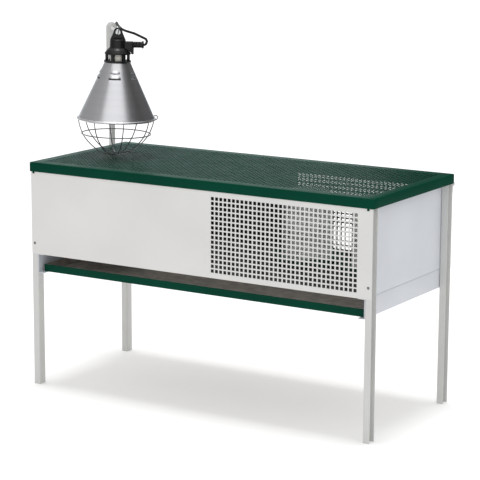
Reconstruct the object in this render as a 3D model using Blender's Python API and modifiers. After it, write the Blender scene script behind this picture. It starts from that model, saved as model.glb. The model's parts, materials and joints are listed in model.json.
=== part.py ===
"""Brooder cage: a raised sheet-metal cage with a perforated lid, a sliding tray, a heat lamp and two drinkers.

Metres, +Z up. The cage's long side runs along X and its front faces -Y. Everything hangs on one empty,
which puts the centre of the whole object's footprint at the origin.
"""

import math

import bmesh
import bpy
from mathutils import Matrix, Vector

# Clearances
TOUCH_GAP = 0.0003
CUT_OVERRUN = 0.004

# Lid: a tray folded from one sheet, rim down, with square perforation
LID_LENGTH = 1.000
LID_DEPTH = 0.430
LID_TOP = 0.590
LID_RIM = 0.024
LID_SHEET = 0.001
LID_BORDER = 0.027
LID_OVERHANG = 0.003
LID_HOLE_COLUMNS = 14
LID_HOLE_ROWS = 6
CATCH_WIDTH = 0.005
CATCH_DROP = 0.007
CATCH_INSET = 0.015

# Legs: channels that open outwards along X
LEG_WIDTH = 0.0245
LEG_FLANGE = 0.018
LEG_SHEET = 0.0015

# Panels
PANEL_SHEET = 0.0007
PANEL_BOTTOM = 0.350
WINDOW_LEFT = 0.051
WINDOW_RIGHT = 0.459
WINDOW_BOTTOM = 0.362
WINDOW_TOP = 0.554
WINDOW_HOLE_COLUMNS = 8
WINDOW_HOLE_ROWS = 4
OPEN_SHARE = 0.667
PANEL_RIVET_RADIUS = 0.0035
PANEL_RIVET_HEIGHT = 0.0010
PANEL_RIVET_INSET = 0.009
PANEL_RIVET_RISE = 0.028

# Tray, its runners and the mesh floor over it
RUNNER_SHEET = 0.0015
RUNNER_FLANGE = 0.018
RUNNER_BOTTOM = 0.301
TRAY_SIDE_CLEARANCE = 0.008
TRAY_FRONT_SETBACK = 0.0145
TRAY_BACK_SETBACK = 0.007
TRAY_SHEET = 0.0008
TRAY_WALL = 0.019
TRAY_FRONT_SHEET = 0.0015
FLOOR_THICKNESS = 0.003
FLOOR_HOLE_COLUMNS = 12
FLOOR_HOLE_ROWS = 5
FLOOR_BORDER = 0.012

# Butt hinges of the lid, at both back corners
HINGE_LENGTH = 0.060
HINGE_KNUCKLES = 3
HINGE_BARREL_RADIUS = 0.005
HINGE_PIN_RADIUS = 0.0025
HINGE_LEAF = 0.0012
HINGE_LEAF_HEIGHT = 0.020
HINGE_STAND_OFF = 0.0055
HINGE_DROP = 0.0265

# Post, bracket plate and arm, on the left end of the lid
POST_RADIUS = 0.0085
POST_WALL = 0.0015
POST_BACK_INSET = 0.046
POST_CAP_HEIGHT = 0.004
POST_CAP_TOP = 0.002
FOOT_WIDTH = 0.060
FOOT_HEIGHT = 0.023
FOOT_THICKNESS = 0.0025
FOOT_SCREW_SPREAD = 0.022
FOOT_SCREW_RADIUS = 0.0042
FOOT_SCREW_HEIGHT = 0.0022
PLATE_RADIUS = 0.0145
PLATE_LENGTH = 0.100
PLATE_THICKNESS = 0.003
ARM_RADIUS = 0.004
ARM_HEIGHT = 0.9078
ARM_RISE = 0.0085
ARM_REACH = 0.2425
ARM_TURN = math.radians(39.6)
ARM_LEVEL_BACK = 0.031
ARM_LEVEL_FRONT = 0.035
ARM_TAIL = 0.0125
NUT_FLATS = 0.013
NUT_THICKNESS = 0.006

# Lamp: heights are measured down from the eye that the arm passes through
LAMP_TILT = math.radians(1.5)
EYE_RADIUS = 0.0115
EYE_THICKNESS = 0.008
EYE_SCREW_RADIUS = 0.0072
EYE_SCREW_HEIGHT = 0.003
EYE_SLOT_WIDTH = 0.0016
EYE_SLOT_DEPTH = 0.0012
HOUSING_RADIUS = 0.0205
HOUSING_SHOULDER = 0.019
HOUSING_BOTTOM = 0.047
BELL_RADIUS = 0.0285
BELL_HEIGHT = 0.007
CABLE_BOX_REACH = 0.041
CABLE_BOX_WIDTH = 0.022
CABLE_BOX_TOP = 0.024
CABLE_BOX_BOTTOM = 0.0563
CABLE_BOX_SKIRT = 0.006
GLAND_RADIUS = 0.008
GLAND_END_RADIUS = 0.010
GLAND_END_LENGTH = 0.003
GLAND_DROP = 0.032
GLAND_END = 0.067
COLLAR_TOP_RADIUS = 0.0340
COLLAR_FOOT_RADIUS = 0.03525
COLLAR_BORE = 0.0240
COLLAR_TOP_FLANGE = 0.010
COLLAR_TOP_EDGE = 0.003
COLLAR_FOOT = 0.078
COLLAR_FOOT_FLANGE = 0.005
COLLAR_WAIST_RADIUS = 0.0320
COLLAR_POSTS = 6
COLLAR_POST_SHARE = 0.24
SOCKET_RADIUS = 0.020
SOCKET_WALL = 0.0055
SOCKET_DEPTH = 0.048
SHADE_TOP_RADIUS = 0.033
SHADE_RADIUS = 0.100
SHADE_TOP = 0.0785
SHADE_RIM = 0.225
SHADE_SHEET = 0.0012
SHADE_BEAD = 0.002
BULB_RADIUS = 0.0605
BULB_NECK_RADIUS = 0.0165
BULB_BOTTOM = 0.222
BULB_SHOULDER = 0.190
BULB_NECK = 0.110
CAP_CLEARANCE = 0.0005
CAP_TOP_GAP = 0.004

# Wire guard under the shade
GUARD_WIRE_RADIUS = 0.00125
GUARD_LOOPS = 4
GUARD_PHASE = math.radians(6.2)
GUARD_DEPTH = 0.096
GUARD_RING_DROP = 0.040
GUARD_HOOK_RISE = 0.004
WELD_SHARE = 1.7
GUARD_RADIUS_SHARES = (1.00, 0.96, 0.865, 0.74, 0.56, 0.36, 0.14)
GUARD_DROP_SHARES = (0.00, 0.20, 0.44, 0.62, 0.80, 0.93, 0.995)
CLIP_RING_RADIUS = 0.006
CLIP_ANGLE = math.radians(12.5)

# Drinker and feeder: the same moulding twice
FOUNT_INSETS = (0.334, 0.132)
FOUNT_BACKS = (0.071, 0.054)
DISH_RADIUS = 0.092
DISH_FOOT_RADIUS = 0.086
DISH_HEIGHT = 0.024
DISH_WALL = 0.002
COLLAR_RING_RADIUS = 0.0585
COLLAR_RING_HEIGHT = 0.018
SEAT_LEDGE = 0.005
JAR_NECK_SHARE = 0.88
JAR_HEIGHT = 0.186
JAR_SHOULDER_SHARE = 0.86
JAR_WALL = 0.0022

# Mains lead: a round flexible cord, its loop at the lamp, its run along the arm and down the post, its coil
CORD_RADIUS = 0.00325
CORD_LENGTH = 2.500
CORD_STEP = 0.015
COIL_TURNS = 8
COIL_POINTS = 24
COIL_PITCH = 0.0071
COIL_CENTRE_HEIGHT = 0.497
TIE_WIDTH = 0.005
TIE_THICKNESS = 0.001
POST_TIE_LOWER_SHARE = 0.28
POST_TIE_UPPER_SHARE = 0.87
PLUG_WIDTH = 0.035
PLUG_NECK_WIDTH = 0.013
PLUG_THICKNESS = 0.014
PLUG_LENGTH = 0.038
PLUG_SHOULDER_SHARE = 0.55
PIN_RADIUS = 0.0020
PIN_LENGTH = 0.019
PIN_SPACING = 0.019

# Facets
ROUND = 24
SMALL_ROUND = 16
WIRE_STEPS = 2

# Colours as linear values, with roughness and metallic
FINISHES = {
    "green_paint": ((0.006, 0.055, 0.026), 0.32, 0.0),
    "white_paint": ((0.72, 0.71, 0.68), 0.42, 0.0),
    "galvanised": ((0.30, 0.31, 0.33), 0.42, 0.9),
    "zinc_wire": ((0.55, 0.56, 0.57), 0.35, 0.9),
    "grey_paint": ((0.56, 0.56, 0.55), 0.45, 0.0),
    "spun_aluminium": ((0.62, 0.62, 0.63), 0.30, 1.0),
    "black_plastic": ((0.010, 0.010, 0.011), 0.45, 0.0),
    "black_rubber": ((0.012, 0.012, 0.012), 0.70, 0.0),
    "white_ceramic": ((0.75, 0.74, 0.70), 0.25, 0.0),
    "red_glass": ((0.75, 0.72, 0.70), 0.08, 0.0),
    "milky_plastic": ((0.80, 0.80, 0.78), 0.30, 0.0),
    "green_plastic": ((0.020, 0.110, 0.055), 0.38, 0.0),
    "bright_steel": ((0.60, 0.60, 0.60), 0.28, 1.0),
}

# Places worked out from the sizes above
LID_X = LID_LENGTH / 2
LID_Y = LID_DEPTH / 2
LID_UNDER = LID_TOP - LID_SHEET
RIM_BOTTOM = LID_TOP - LID_RIM
BODY_TOP = LID_UNDER - TOUCH_GAP
LEG_X = LID_X - LID_OVERHANG
LEG_Y = LID_Y - LID_OVERHANG
PANEL_INNER_Y = LEG_Y + TOUCH_GAP
PANEL_OUTER_Y = PANEL_INNER_Y + PANEL_SHEET
WEB_X = LEG_X - LEG_FLANGE
SIDE_OUTER_X = WEB_X - TOUCH_GAP
SIDE_INNER_X = SIDE_OUTER_X - PANEL_SHEET
INSIDE_Y = LEG_Y - TOUCH_GAP
FLOOR_TOP = PANEL_BOTTOM + TOUCH_GAP + FLOOR_THICKNESS
RUNNER_TOP = FLOOR_TOP - FLOOR_THICKNESS - TOUCH_GAP
RUNNER_WEB_X = SIDE_OUTER_X - RUNNER_SHEET
TRAY_X = RUNNER_WEB_X - TRAY_SIDE_CLEARANCE
TRAY_BOTTOM = RUNNER_BOTTOM + RUNNER_SHEET + TOUCH_GAP
TRAY_FRONT_Y = -LEG_Y + TRAY_FRONT_SETBACK
TRAY_BACK_Y = LEG_Y - TRAY_BACK_SETBACK
HINGE_Y = LID_Y + HINGE_STAND_OFF
HINGE_Z = LID_TOP - HINGE_DROP
POST_X = -(LID_X + TOUCH_GAP + FOOT_THICKNESS + TOUCH_GAP + POST_RADIUS)
POST_Y = LID_Y - POST_BACK_INSET
PLATE_BOTTOM = ARM_HEIGHT + PLATE_RADIUS - PLATE_LENGTH
EYE_X = POST_X + ARM_REACH * math.sin(ARM_TURN)
EYE_Y = POST_Y - ARM_REACH * math.cos(ARM_TURN)
EYE_Z = ARM_HEIGHT + ARM_RISE
FOOTPRINT_LEFT = POST_X - POST_RADIUS
FOOTPRINT_RIGHT = LID_X
FOOTPRINT_FRONT = -LID_Y
FOOTPRINT_BACK = HINGE_Y + HINGE_BARREL_RADIUS
CENTRE_X = (FOOTPRINT_LEFT + FOOTPRINT_RIGHT) / 2
CENTRE_Y = (FOOTPRINT_FRONT + FOOTPRINT_BACK) / 2


def clear_scene():
    for old in list(bpy.data.objects):
        bpy.data.objects.remove(old, do_unlink=True)


def new_collection(name):
    made = bpy.data.collections.new(name)
    bpy.context.scene.collection.children.link(made)
    return made


def finish(name):
    """The material of this name, made on first use."""
    if name in bpy.data.materials:
        return bpy.data.materials[name]
    colour, roughness, metallic = FINISHES[name]
    made = bpy.data.materials.new(name)
    made.use_nodes = True
    shader = made.node_tree.nodes["Principled BSDF"]
    shader.inputs["Base Color"].default_value = (*colour, 1)
    shader.inputs["Roughness"].default_value = roughness
    shader.inputs["Metallic"].default_value = metallic
    return made


def empty(name, parent=None, location=(0, 0, 0), rotation=(0, 0, 0)):
    made = bpy.data.objects.new(name, None)
    made.empty_display_size = EYE_RADIUS
    made.location = location
    made.rotation_euler = rotation
    made.parent = parent
    PARTS.objects.link(made)
    return made


def add(name, data, paint, frame):
    """A new object with this data under the frame. With no paint it is a cutter."""
    made = bpy.data.objects.new(name, data)
    made.parent = frame
    if paint:
        data.materials.append(finish(paint))
        PARTS.objects.link(made)
    else:
        made.hide_render = True
        made.display_type = "WIRE"
        CUTTERS.objects.link(made)
    return made


def block(name, low, high, paint=None, frame=None):
    """A box between two corners."""
    mesh = bpy.data.meshes.new(name)
    shape = bmesh.new()
    bmesh.ops.create_cube(shape, size=1)
    size = Vector(high) - Vector(low)
    bmesh.ops.scale(shape, vec=size, verts=shape.verts)
    shape.to_mesh(mesh)
    shape.free()
    made = add(name, mesh, paint, frame)
    made.location = (Vector(high) + Vector(low)) / 2
    return made


def aimed(direction):
    """The rotation that turns +Z to this direction."""
    return Vector(direction).to_track_quat("Z", "Y").to_euler()


def cylinder(name, radius, start, end, paint=None, frame=None, sides=SMALL_ROUND, end_radius=None):
    """A cylinder, cone or prism from one point to another."""
    start = Vector(start)
    along = Vector(end) - start
    mesh = bpy.data.meshes.new(name)
    shape = bmesh.new()
    bmesh.ops.create_cone(
        shape,
        cap_ends=True,
        segments=sides,
        radius1=radius,
        radius2=radius if end_radius is None else end_radius,
        depth=along.length,
    )
    shape.to_mesh(mesh)
    shape.free()
    made = add(name, mesh, paint, frame)
    made.location = start + along / 2
    made.rotation_euler = aimed(along)
    return made


def turned(name, profile, paint, frame=None, steps=ROUND, location=(0, 0, 0)):
    """A solid turned about Z. The profile lists (radius, height), down its outer side from the top.

    A profile that starts and ends on the axis is open there. Any other one is closed to a ring.
    """
    mesh = bpy.data.meshes.new(name)
    shape = bmesh.new()
    corners = [shape.verts.new((radius, 0, height)) for radius, height in profile]
    for first, second in zip(corners, corners[1:]):
        shape.edges.new((first, second))
    if profile[0][0] > 0:
        shape.edges.new((corners[-1], corners[0]))
    shape.to_mesh(mesh)
    shape.free()
    made = add(name, mesh, paint, frame)
    made.location = location
    screw = made.modifiers.new("turn", "SCREW")
    screw.axis = "Z"
    screw.angle = math.tau
    screw.steps = steps
    screw.render_steps = steps
    screw.use_merge_vertices = True
    screw.merge_threshold = TOUCH_GAP / 10
    return made


def outline_curve(name, outlines, thickness):
    """A flat 2D curve with one closed spline per outline, extruded to a plate centred on its plane."""
    curve = bpy.data.curves.new(name, "CURVE")
    curve.dimensions = "2D"
    curve.fill_mode = "BOTH"
    curve.extrude = thickness / 2
    for outline in outlines:
        spline = curve.splines.new("POLY")
        spline.points.add(len(outline) - 1)
        for point, place in zip(spline.points, outline):
            point.co = (*place, 0, 1)
        spline.use_cyclic_u = True
    return curve


def plate(name, outlines, thickness, paint, frame, location, across, up):
    """A plate cut to outlines drawn in the plane of two directions, centred on the location."""
    made = add(name, outline_curve(name, outlines, thickness), paint, frame)
    across = Vector(across).normalized()
    up = Vector(up).normalized()
    turn = Matrix((across, up, across.cross(up))).transposed()
    made.location = location
    made.rotation_euler = turn.to_euler()
    return made


def tube(name, points, radius, paint, frame, rounding=WIRE_STEPS, closed=False):
    """A round wire or cord along points."""
    curve = bpy.data.curves.new(name, "CURVE")
    curve.dimensions = "3D"
    curve.bevel_depth = radius
    curve.bevel_resolution = rounding
    curve.use_fill_caps = not closed
    spline = curve.splines.new("POLY")
    spline.points.add(len(points) - 1)
    for point, place in zip(spline.points, points):
        point.co = (*place, 1)
    spline.use_cyclic_u = closed
    return add(name, curve, paint, frame)


def as_mesh(made):
    """The evaluated curve as a mesh object with welded caps, under the same name, frame and place."""
    bpy.context.view_layer.update()
    graph = bpy.context.evaluated_depsgraph_get()
    mesh = bpy.data.meshes.new_from_object(made.evaluated_get(graph))
    shape = bmesh.new()
    shape.from_mesh(mesh)
    bmesh.ops.remove_doubles(shape, verts=shape.verts, dist=TOUCH_GAP / 10)
    shape.to_mesh(mesh)
    shape.free()
    name = made.name
    home = made.users_collection[0]
    frame = made.parent
    place = made.matrix_basis.copy()
    bpy.data.objects.remove(made, do_unlink=True)
    swapped = bpy.data.objects.new(name, mesh)
    home.objects.link(swapped)
    swapped.parent = frame
    swapped.matrix_basis = place
    if home == CUTTERS:
        swapped.hide_render = True
        swapped.display_type = "WIRE"
    return swapped


def boolean(made, tool, operation):
    step = made.modifiers.new(tool.name, "BOOLEAN")
    step.operation = operation
    step.solver = "EXACT"
    step.object = tool
    return made


def cut(made, *cutters):
    for cutter in cutters:
        boolean(made, cutter, "DIFFERENCE")
    return made


def join(made, *pieces):
    for piece in pieces:
        boolean(made, piece, "UNION")
    return made


def repeat(made, count, step):
    """Copies of an object's mesh in a row, each one this vector after the last."""
    row = made.modifiers.new("row", "ARRAY")
    row.count = count
    row.use_relative_offset = False
    row.use_constant_offset = True
    row.constant_offset_displace = step
    return made


def hole_grid(name, low, high, columns, rows, through, frame):
    """Cutters for a grid of holes over a rectangle. Its plane has X and one other axis, through is the third."""
    other = 3 - through
    size = Vector(high) - Vector(low)
    pitch_x = size.x / columns
    pitch_other = size[other] / rows
    centre = Vector(low)
    centre.x += pitch_x / 2
    centre[other] += pitch_other / 2
    centre[through] += size[through] / 2
    half = Vector((pitch_x * OPEN_SHARE / 2, 0, 0))
    half[other] = pitch_other * OPEN_SHARE / 2
    half[through] = size[through] / 2 + CUT_OVERRUN
    cutter = block(name, centre - half, centre + half, frame=frame)
    repeat(cutter, columns, (pitch_x, 0, 0))
    down = [0, 0, 0]
    down[other] = pitch_other
    return repeat(cutter, rows, down)


def along_curve(points, step):
    """Points at even steps along a smooth curve through the given ones."""
    places = [Vector(point) for point in points]
    places.insert(0, places[0] * 2 - places[1])
    places.append(places[-1] * 2 - places[-2])
    found = [places[1]]
    for a, b, c, d in zip(places, places[1:], places[2:], places[3:]):
        parts = max(1, round((c - b).length / step))
        for index in range(1, parts + 1):
            t = index / parts
            found.append(
                (b * 2 + (c - a) * t + (a * 2 - b * 5 + c * 4 - d) * t**2 + (b * 3 - a - c * 3 + d) * t**3) / 2
            )
    return found


def length_of(points):
    return sum((b - a).length for a, b in zip(points, points[1:]))


def build_legs():
    """Four channels, each with its web towards the cage."""
    for side, x in (("left", -1), ("right", 1)):
        for end, y in (("front", -1), ("back", 1)):
            web_in = WEB_X + LEG_SHEET
            outline = (
                (x * LEG_X, y * LEG_Y),
                (x * WEB_X, y * LEG_Y),
                (x * WEB_X, y * (LEG_Y - LEG_WIDTH)),
                (x * LEG_X, y * (LEG_Y - LEG_WIDTH)),
                (x * LEG_X, y * (LEG_Y - LEG_WIDTH + LEG_SHEET)),
                (x * web_in, y * (LEG_Y - LEG_WIDTH + LEG_SHEET)),
                (x * web_in, y * (LEG_Y - LEG_SHEET)),
                (x * LEG_X, y * (LEG_Y - LEG_SHEET)),
            )
            name = f"leg_{end}_{side}"
            plate(name, [outline], BODY_TOP, "grey_paint", CAGE, (0, 0, BODY_TOP / 2), (1, 0, 0), (0, 1, 0))


def head(name, place, facing, radius, height, frame):
    """A low domed fastener head, seated on its face with the touching gap."""
    start = Vector(place) + Vector(facing) * TOUCH_GAP
    top = start + Vector(facing) * height
    return cylinder(name, radius, start, top, "bright_steel", frame, end_radius=radius - height)


def build_panels():
    """Front and back over the legs' flanges, sides recessed against the legs' webs, one window in each long panel."""
    for end, y in (("front", -1), ("back", 1)):
        name = f"{end}_panel"
        near, far = sorted((y * PANEL_INNER_Y, y * PANEL_OUTER_Y))
        sheet = block(name, (-LEG_X, near, PANEL_BOTTOM), (LEG_X, far, BODY_TOP), "white_paint", CAGE)
        window = hole_grid(
            name + "_window",
            (WINDOW_LEFT, near, WINDOW_BOTTOM),
            (WINDOW_RIGHT, far, WINDOW_TOP),
            WINDOW_HOLE_COLUMNS,
            WINDOW_HOLE_ROWS,
            1,
            CAGE,
        )
        cut(sheet, window)
        for side, x in (("left", -1), ("right", 1)):
            place = (x * (LEG_X - PANEL_RIVET_INSET), y * PANEL_OUTER_Y, PANEL_BOTTOM + PANEL_RIVET_RISE)
            rivet = f"panel_rivet_{end}_{side}"
            head(rivet, place, (0, y, 0), PANEL_RIVET_RADIUS, PANEL_RIVET_HEIGHT, CAGE)
    for name, x in (("side_panel_left", -1), ("side_panel_right", 1)):
        near, far = sorted((x * SIDE_INNER_X, x * SIDE_OUTER_X))
        low = (near, -INSIDE_Y, RUNNER_TOP + TOUCH_GAP)
        block(name, low, (far, INSIDE_Y, BODY_TOP), "white_paint", CAGE)


def build_floor():
    """The mesh floor on the runners' top flanges."""
    x = SIDE_INNER_X - TOUCH_GAP
    bottom = FLOOR_TOP - FLOOR_THICKNESS
    sheet = block("floor_grid", (-x, -INSIDE_Y, bottom), (x, INSIDE_Y, FLOOR_TOP), "galvanised", CAGE)
    holes = hole_grid(
        "floor_holes",
        (-x + FLOOR_BORDER, -INSIDE_Y + FLOOR_BORDER, bottom),
        (x - FLOOR_BORDER, INSIDE_Y - FLOOR_BORDER, FLOOR_TOP),
        FLOOR_HOLE_COLUMNS,
        FLOOR_HOLE_ROWS,
        2,
        CAGE,
    )
    cut(sheet, holes)


def build_runners():
    """Two channels under the side panels: the floor lies on them and the tray slides in them."""
    for name, x in (("tray_runner_left", -1), ("tray_runner_right", 1)):
        tip = x * (SIDE_OUTER_X - RUNNER_FLANGE)
        outer = x * SIDE_OUTER_X
        inner = x * RUNNER_WEB_X
        outline = (
            (tip, RUNNER_BOTTOM),
            (outer, RUNNER_BOTTOM),
            (outer, RUNNER_TOP),
            (tip, RUNNER_TOP),
            (tip, RUNNER_TOP - RUNNER_SHEET),
            (inner, RUNNER_TOP - RUNNER_SHEET),
            (inner, RUNNER_BOTTOM + RUNNER_SHEET),
            (tip, RUNNER_BOTTOM + RUNNER_SHEET),
        )
        plate(name, [outline], INSIDE_Y * 2, "white_paint", CAGE, (0, 0, 0), (1, 0, 0), (0, 0, 1))


def build_tray():
    """A shallow pan on the runners' lower flanges, with the green front strip that pulls it out."""
    front = TRAY_FRONT_Y + TRAY_FRONT_SHEET + TOUCH_GAP
    top = TRAY_BOTTOM + TRAY_WALL
    pan = block("tray", (-TRAY_X, front, TRAY_BOTTOM), (TRAY_X, TRAY_BACK_Y, top), "galvanised", TRAY)
    hollow = block(
        "tray_hollow",
        (-TRAY_X + TRAY_SHEET, front + TRAY_SHEET, TRAY_BOTTOM + TRAY_SHEET),
        (TRAY_X - TRAY_SHEET, TRAY_BACK_Y - TRAY_SHEET, top + CUT_OVERRUN),
        frame=TRAY,
    )
    cut(pan, hollow)
    block(
        "tray_front",
        (-TRAY_X, TRAY_FRONT_Y, TRAY_BOTTOM),
        (TRAY_X, TRAY_FRONT_Y + TRAY_FRONT_SHEET, top),
        "green_paint",
        TRAY,
    )


def build_lid():
    """The lid sheet with its rim, its perforation and the two catches under the front rim."""
    lid = block("lid", (-LID_X, -LID_Y, RIM_BOTTOM), (LID_X, LID_Y, LID_TOP), "green_paint", LID)
    hollow = block(
        "lid_hollow",
        (-LID_X + LID_SHEET, -LID_Y + LID_SHEET, RIM_BOTTOM - CUT_OVERRUN),
        (LID_X - LID_SHEET, LID_Y - LID_SHEET, LID_UNDER),
        frame=LID,
    )
    holes = hole_grid(
        "lid_holes",
        (-LID_X + LID_BORDER, -LID_Y + LID_BORDER, LID_UNDER),
        (LID_X - LID_BORDER, LID_Y - LID_BORDER, LID_TOP),
        LID_HOLE_COLUMNS,
        LID_HOLE_ROWS,
        2,
        LID,
    )
    cut(lid, hollow, holes)
    for side, x in (("left", -1), ("right", 1)):
        middle = x * (LID_X - CATCH_INSET)
        tab = block(
            f"catch_{side}",
            (middle - CATCH_WIDTH / 2, -LID_Y, RIM_BOTTOM - CATCH_DROP),
            (middle + CATCH_WIDTH / 2, -LID_Y + LID_SHEET, RIM_BOTTOM + CATCH_DROP),
            frame=LID,
        )
        join(lid, tab)


def build_hinge(side, x):
    """One butt hinge: the lower leaf on the back panel, the upper leaf on the lid's back rim, and the pin."""
    outer = LEG_X
    knuckle = HINGE_LENGTH / HINGE_KNUCKLES
    leaf_low = PANEL_OUTER_Y + TOUCH_GAP
    lid_low = LID_Y + TOUCH_GAP
    reach = HINGE_BARREL_RADIUS / 2
    clear = HINGE_BARREL_RADIUS + TOUCH_GAP
    pieces = (
        (
            f"hinge_lower_{side}",
            CAGE,
            (leaf_low, HINGE_Z - HINGE_LEAF_HEIGHT, leaf_low + HINGE_LEAF, HINGE_Z - TOUCH_GAP),
            (leaf_low, HINGE_Z - HINGE_BARREL_RADIUS, HINGE_Y - reach, HINGE_Z - HINGE_BARREL_RADIUS + HINGE_LEAF),
            (0, 2),
        ),
        (
            f"hinge_upper_{side}",
            LID,
            (lid_low, HINGE_Z + clear, lid_low + HINGE_LEAF, HINGE_Z + HINGE_LEAF_HEIGHT),
            (lid_low, HINGE_Z, lid_low + HINGE_LEAF, HINGE_Z + clear + HINGE_LEAF),
            (1,),
        ),
    )
    bore = cylinder(
        f"hinge_bore_{side}",
        HINGE_PIN_RADIUS + TOUCH_GAP,
        (x * (outer + CUT_OVERRUN), HINGE_Y, HINGE_Z),
        (x * (outer - HINGE_LENGTH - CUT_OVERRUN), HINGE_Y, HINGE_Z),
        frame=CAGE,
    )
    for name, frame, leaf, web, knuckles in pieces:
        near, far = sorted((x * outer, x * (outer - HINGE_LENGTH)))
        made = block(name, (near, leaf[0], leaf[1]), (far, leaf[2], leaf[3]), "grey_paint", frame)
        for index in knuckles:
            start = outer - knuckle * index - TOUCH_GAP / 2
            end = outer - knuckle * (index + 1) + TOUCH_GAP / 2
            barrel = cylinder(
                f"{name}_barrel_{index}",
                HINGE_BARREL_RADIUS,
                (x * start, HINGE_Y, HINGE_Z),
                (x * end, HINGE_Y, HINGE_Z),
                frame=frame,
            )
            low_x, high_x = sorted((x * start, x * end))
            bridge = block(
                f"{name}_bridge_{index}", (low_x, web[0], web[1]), (high_x, web[2], web[3]), frame=frame
            )
            join(made, bridge, barrel)
        cut(made, bore)
    start = (x * outer, HINGE_Y, HINGE_Z)
    end = (x * (outer - HINGE_LENGTH), HINGE_Y, HINGE_Z)
    cylinder(f"hinge_pin_{side}", HINGE_PIN_RADIUS, start, end, "bright_steel", CAGE)


def build_post():
    """The round post outside the lid's left rim, with its foot plate, screws and cap."""
    top = ARM_HEIGHT + POST_RADIUS + POST_CAP_HEIGHT - POST_CAP_TOP
    turned(
        "lamp_post",
        (
            (POST_RADIUS, top),
            (POST_RADIUS, RIM_BOTTOM),
            (POST_RADIUS - POST_WALL, RIM_BOTTOM),
            (POST_RADIUS - POST_WALL, top),
        ),
        "grey_paint",
        LID,
        location=(POST_X, POST_Y, 0),
    )
    post_bore = cylinder(
        "post_bore",
        ARM_RADIUS + TOUCH_GAP,
        (0, ARM_REACH - POST_RADIUS - CUT_OVERRUN, -ARM_RISE),
        (0, ARM_REACH + POST_RADIUS + CUT_OVERRUN, -ARM_RISE),
        frame=BRACKET,
    )
    cut(bpy.data.objects["lamp_post"], post_bore)
    inside = POST_RADIUS - POST_WALL - TOUCH_GAP
    turned(
        "post_cap",
        (
            (0, top + TOUCH_GAP + POST_CAP_TOP),
            (POST_RADIUS, top + TOUCH_GAP + POST_CAP_TOP),
            (POST_RADIUS, top + TOUCH_GAP),
            (inside, top + TOUCH_GAP),
            (inside, top - POST_CAP_HEIGHT / 2),
            (0, top - POST_CAP_HEIGHT / 2),
        ),
        "black_plastic",
        LID,
        steps=SMALL_ROUND,
        location=(POST_X, POST_Y, 0),
    )
    face = -LID_X - TOUCH_GAP
    middle = (LID_TOP + RIM_BOTTOM) / 2
    block(
        "post_foot",
        (face - FOOT_THICKNESS, POST_Y - FOOT_WIDTH / 2, middle - FOOT_HEIGHT / 2),
        (face, POST_Y + FOOT_WIDTH / 2, middle + FOOT_HEIGHT / 2),
        "grey_paint",
        LID,
    )
    for name, side in (("post_screw_front", -1), ("post_screw_back", 1)):
        place = (face - FOOT_THICKNESS, POST_Y + side * FOOT_SCREW_SPREAD, middle)
        head(name, place, (-1, 0, 0), FOOT_SCREW_RADIUS, FOOT_SCREW_HEIGHT, LID)


def arc(centre, radius, start, end, steps):
    """Points on an arc in a plane, both ends included."""
    return [
        (
            centre[0] + radius * math.cos(start + (end - start) * index / steps),
            centre[1] + radius * math.sin(start + (end - start) * index / steps),
        )
        for index in range(steps + 1)
    ]


def build_bracket():
    """The head plate in front of the post, the cranked arm through both, its nuts and the lamp's screw."""
    plate_back = ARM_REACH - POST_RADIUS - TOUCH_GAP
    plate_middle = plate_back - PLATE_THICKNESS / 2
    outline = arc((0, 0), PLATE_RADIUS, 0, math.pi, SMALL_ROUND)
    outline += [(-PLATE_RADIUS, PLATE_RADIUS - PLATE_LENGTH), (PLATE_RADIUS, PLATE_RADIUS - PLATE_LENGTH)]
    bore = arc((0, 0), ARM_RADIUS + TOUCH_GAP, 0, math.tau, SMALL_ROUND)[:-1]
    plate(
        "head_plate",
        [outline, bore],
        PLATE_THICKNESS,
        "grey_paint",
        BRACKET,
        (0, plate_middle, -ARM_RISE),
        (1, 0, 0),
        (0, 0, 1),
    )
    plate_front = plate_back - PLATE_THICKNESS
    arm = (
        (0, -EYE_THICKNESS / 2, 0),
        (0, ARM_LEVEL_FRONT, 0),
        (0, plate_front - ARM_LEVEL_BACK, -ARM_RISE),
        (0, ARM_REACH + POST_RADIUS + ARM_TAIL, -ARM_RISE),
    )
    tube("lamp_arm", arm, ARM_RADIUS, "grey_paint", BRACKET)
    nut_faces = (
        ("arm_nut_eye", EYE_THICKNESS / 2 + TOUCH_GAP, 0, "bright_steel"),
        ("arm_nut_front", plate_front - TOUCH_GAP - NUT_THICKNESS, -ARM_RISE, "grey_paint"),
        ("arm_nut_back", ARM_REACH + POST_RADIUS + TOUCH_GAP, -ARM_RISE, "grey_paint"),
    )
    for name, start, height, paint in nut_faces:
        nut = cylinder(
            name,
            NUT_FLATS / math.sqrt(3),
            (0, start, height),
            (0, start + NUT_THICKNESS, height),
            paint,
            BRACKET,
            sides=6,
        )
        bore = cylinder(
            name + "_bore",
            ARM_RADIUS + TOUCH_GAP,
            (0, start - CUT_OVERRUN, height),
            (0, start + NUT_THICKNESS + CUT_OVERRUN, height),
            frame=BRACKET,
        )
        cut(nut, bore)
    face = -EYE_THICKNESS / 2 - TOUCH_GAP
    screw = cylinder(
        "eye_screw", EYE_SCREW_RADIUS, (0, face, 0), (0, face - EYE_SCREW_HEIGHT, 0), "bright_steel", BRACKET
    )
    slot = block(
        "eye_slot",
        (-EYE_SLOT_WIDTH / 2, face - EYE_SCREW_HEIGHT - CUT_OVERRUN, -EYE_SCREW_RADIUS - CUT_OVERRUN),
        (EYE_SLOT_WIDTH / 2, face - EYE_SCREW_HEIGHT + EYE_SLOT_DEPTH, EYE_SCREW_RADIUS + CUT_OVERRUN),
        frame=BRACKET,
    )
    cut(screw, slot)


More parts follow.
